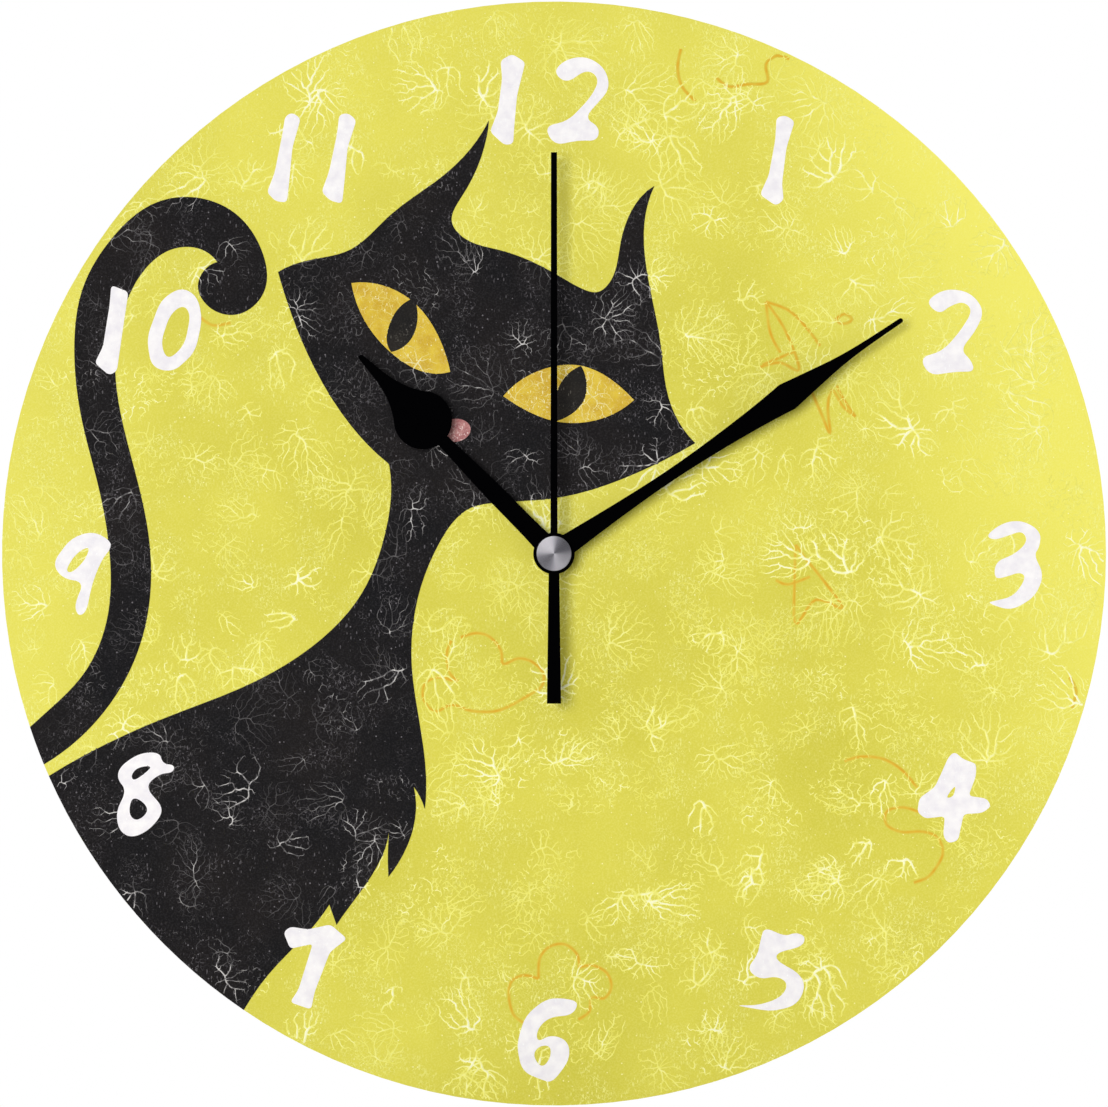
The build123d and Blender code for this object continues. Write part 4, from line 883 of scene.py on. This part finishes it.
def wound_copper_painted_shade():
    finish, tree, shader = new_finish("wound_copper_painted_shade", roughness=0.3, gloss=0.5, metallic=1.0)
    turn_bumps_and_painted_shade = wave(tree, combine(tree, "MULTIPLY", coordinates(tree)["Z"], 2 * math.pi / wire_pitch))
    # Painted highlight and shade: the colour runs from dark in the gap between turns to light on each
    # turn's top.
    colour_with(tree, shader, shades(tree, fade(tree, turn_bumps_and_painted_shade, -1, 1), (0.0, paint(120, 58, 28)),
                                     (0.7, paint(196, 110, 62)), (1.0, paint(226, 146, 96))))
    relief(tree, shader, turn_bumps_and_painted_shade, depth=0.03)
    return finish


dress(wound_copper_painted_shade(), "coil_winding")


# %% [markdown]
# ## Circuit board
#
# The board is green lacquer over copper. Where a track runs underneath, the lacquer
# stands a little proud and looks paler. The cells of a mosaic serve as tracks, and the
# edges between them as the bare grooves.

# %% Green lacquer
def circuit_laminate():
    finish, tree, shader = new_finish("green_circuit", roughness=0.3, gloss=0.5)
    tracks = cells(tree, 2.6, "F1", "Distance")
    raised = fade(tree, cells(tree, 2.6, "DISTANCE_TO_EDGE", "Distance"), 0.10, 0.14)
    weave = fade(tree, tracks, 0.2, 0.9)
    copper = shades(tree, weave, (0.0, paint(30, 118, 66)), (1.0, paint(26, 104, 58)))
    colour_with(tree, shader, tint(tree, raised, paint(22, 92, 52), copper))
    relief(tree, shader, raised, depth=0.03)
    return finish


dress(circuit_laminate(), "circuit_board")


# %% [markdown]
# ## Cell jacket
#
# The cell has a printed foil jacket: blue, then a pale line, then gold near the raised
# end, with nothing written on it. The bands follow the cell's length, so they are stops
# on one run of colours, and the gold is metallic where the blue isn't.

# %% Cell jacket
def cell_jacket():
    finish, tree, shader = new_finish("cell_jacket", roughness=0.3, gloss=0.5)
    low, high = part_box("battery_sleeve")
    share = fade(tree, coordinates(tree)["X"], low.x, high.x)
    bands = shades(tree, share, (0.0, paint(30, 62, 112)), (0.66, paint(30, 62, 112)),
                   (0.664, paint(228, 228, 230)), (0.684, paint(228, 228, 230)),
                   (0.688, paint(196, 158, 84)), (1.0, paint(206, 170, 96)))
    wear = mottle(tree, 1.4, 4.0)
    colour_with(tree, shader,
                tint(tree, fade(tree, wear, 0.55, 0.8, 0.0, 0.18), bands, paint(210, 212, 216)))
    tree.links.new(fade(tree, share, 0.684, 0.688, 0.0, 0.8), shader.inputs["Metallic"])
    tree.links.new(fade(tree, wear, 0.3, 0.7, 0.24, 0.42), shader.inputs["Roughness"])
    return finish


dress(cell_jacket(), "battery_sleeve")

# %% [markdown]
# ## Floor
#
# The clock hangs in front of a white studio, with a pale floor well below it. The floor
# is one face, only just off white, so that it stays quiet and still catches a shadow.

# %% Floor
def pale_floor():
    half, drop = 0.75, cad_box[0].z - 0.045
    mesh = bpy.data.meshes.new("floor")
    mesh.from_pydata([(-half, -half, drop), (half, -half, drop), (half, half, drop), (-half, half, drop)],
                     [], [(0, 1, 2, 3)])
    floor = bpy.data.objects.new("floor", mesh)
    bpy.context.scene.collection.objects.link(floor)
    finish, tree, shader = new_finish("pale_floor", roughness=0.7, gloss=0.2)
    colour_with(tree, shader, shades(tree, mottle(tree, 60, 2.0), (0.3, paint(240, 240, 239)),
                                     (0.7, paint(244, 244, 243))))
    mesh.materials.append(finish)
    print("floor at", round(drop / mm, 1), "mm")


pale_floor()


# %% [markdown]
# ## Light
#
# One wide soft lamp up on the left throws the hands' shadows a little to the right, and
# its width gives them their soft edges. The room itself lights everything evenly, and a
# second lamp above and behind keeps the movement readable from the back.
#
# The background has to look white but would wash the shadows out if it shone as strongly
# as it looks, so the light path node gives it one strength for each.

# %% Lamps and room
def soft_lamp(name, travels, strength, width):
    """A distant lamp whose light travels in a direction; width is its apparent size in degrees."""
    lamp = bpy.data.objects.new(name, bpy.data.lights.new(name, "SUN"))
    bpy.context.scene.collection.objects.link(lamp)
    lamp.data.energy, lamp.data.angle = strength, math.radians(width)
    lamp.rotation_euler = Vector(travels).to_track_quat("-Z", "Y").to_euler()
    print(name, "strength", strength, "and", width, "degrees wide")


def white_room(seen, felt):
    """A white background of one brightness to the eye and another to the surfaces it lights."""
    world = bpy.data.worlds.new("white_room")
    bpy.context.scene.world = world
    world.use_nodes = True
    tree = world.node_tree
    background = tree.nodes["Background"]
    background.inputs["Color"].default_value = (1, 1, 1, 1)
    direct = put(tree, "ShaderNodeLightPath").outputs["Is Camera Ray"]
    tree.links.new(fade(tree, direct, 0, 1, felt, seen), background.inputs["Strength"])


white_room(seen=1.0, felt=0.24)
soft_lamp("key_lamp", travels=(0.29, 1.0, -0.10), strength=2.15, width=28)
soft_lamp("back_lamp", travels=(0.25, -0.9, -0.9), strength=1.7, width=40)


# %% [markdown]
# ## Camera
#
# A long lens a few metres away shows the dial with almost no perspective. Its length
# follows from the width that has to fit into the picture at the print's distance.

# %% Camera
def dial_camera(distance, seen_width):
    """Looks straight at the dial, far enough away for the view to be seen_width across at the print."""
    camera = bpy.data.objects.new("camera", bpy.data.cameras.new("camera"))
    bpy.context.scene.collection.objects.link(camera)
    camera.location = (0, -distance, 0)
    camera.rotation_euler = (math.pi / 2, 0, 0)
    camera.data.lens = camera.data.sensor_width * (distance + film_front) / seen_width
    camera.data.clip_start, camera.data.clip_end = 0.01, 20
    bpy.context.scene.camera = camera
    print("lens", round(camera.data.lens, 1), "mm")


dial_camera(distance=2.5, seen_width=2.0072 * dial_radius)
bpy.context.scene.view_settings.view_transform = "Standard"
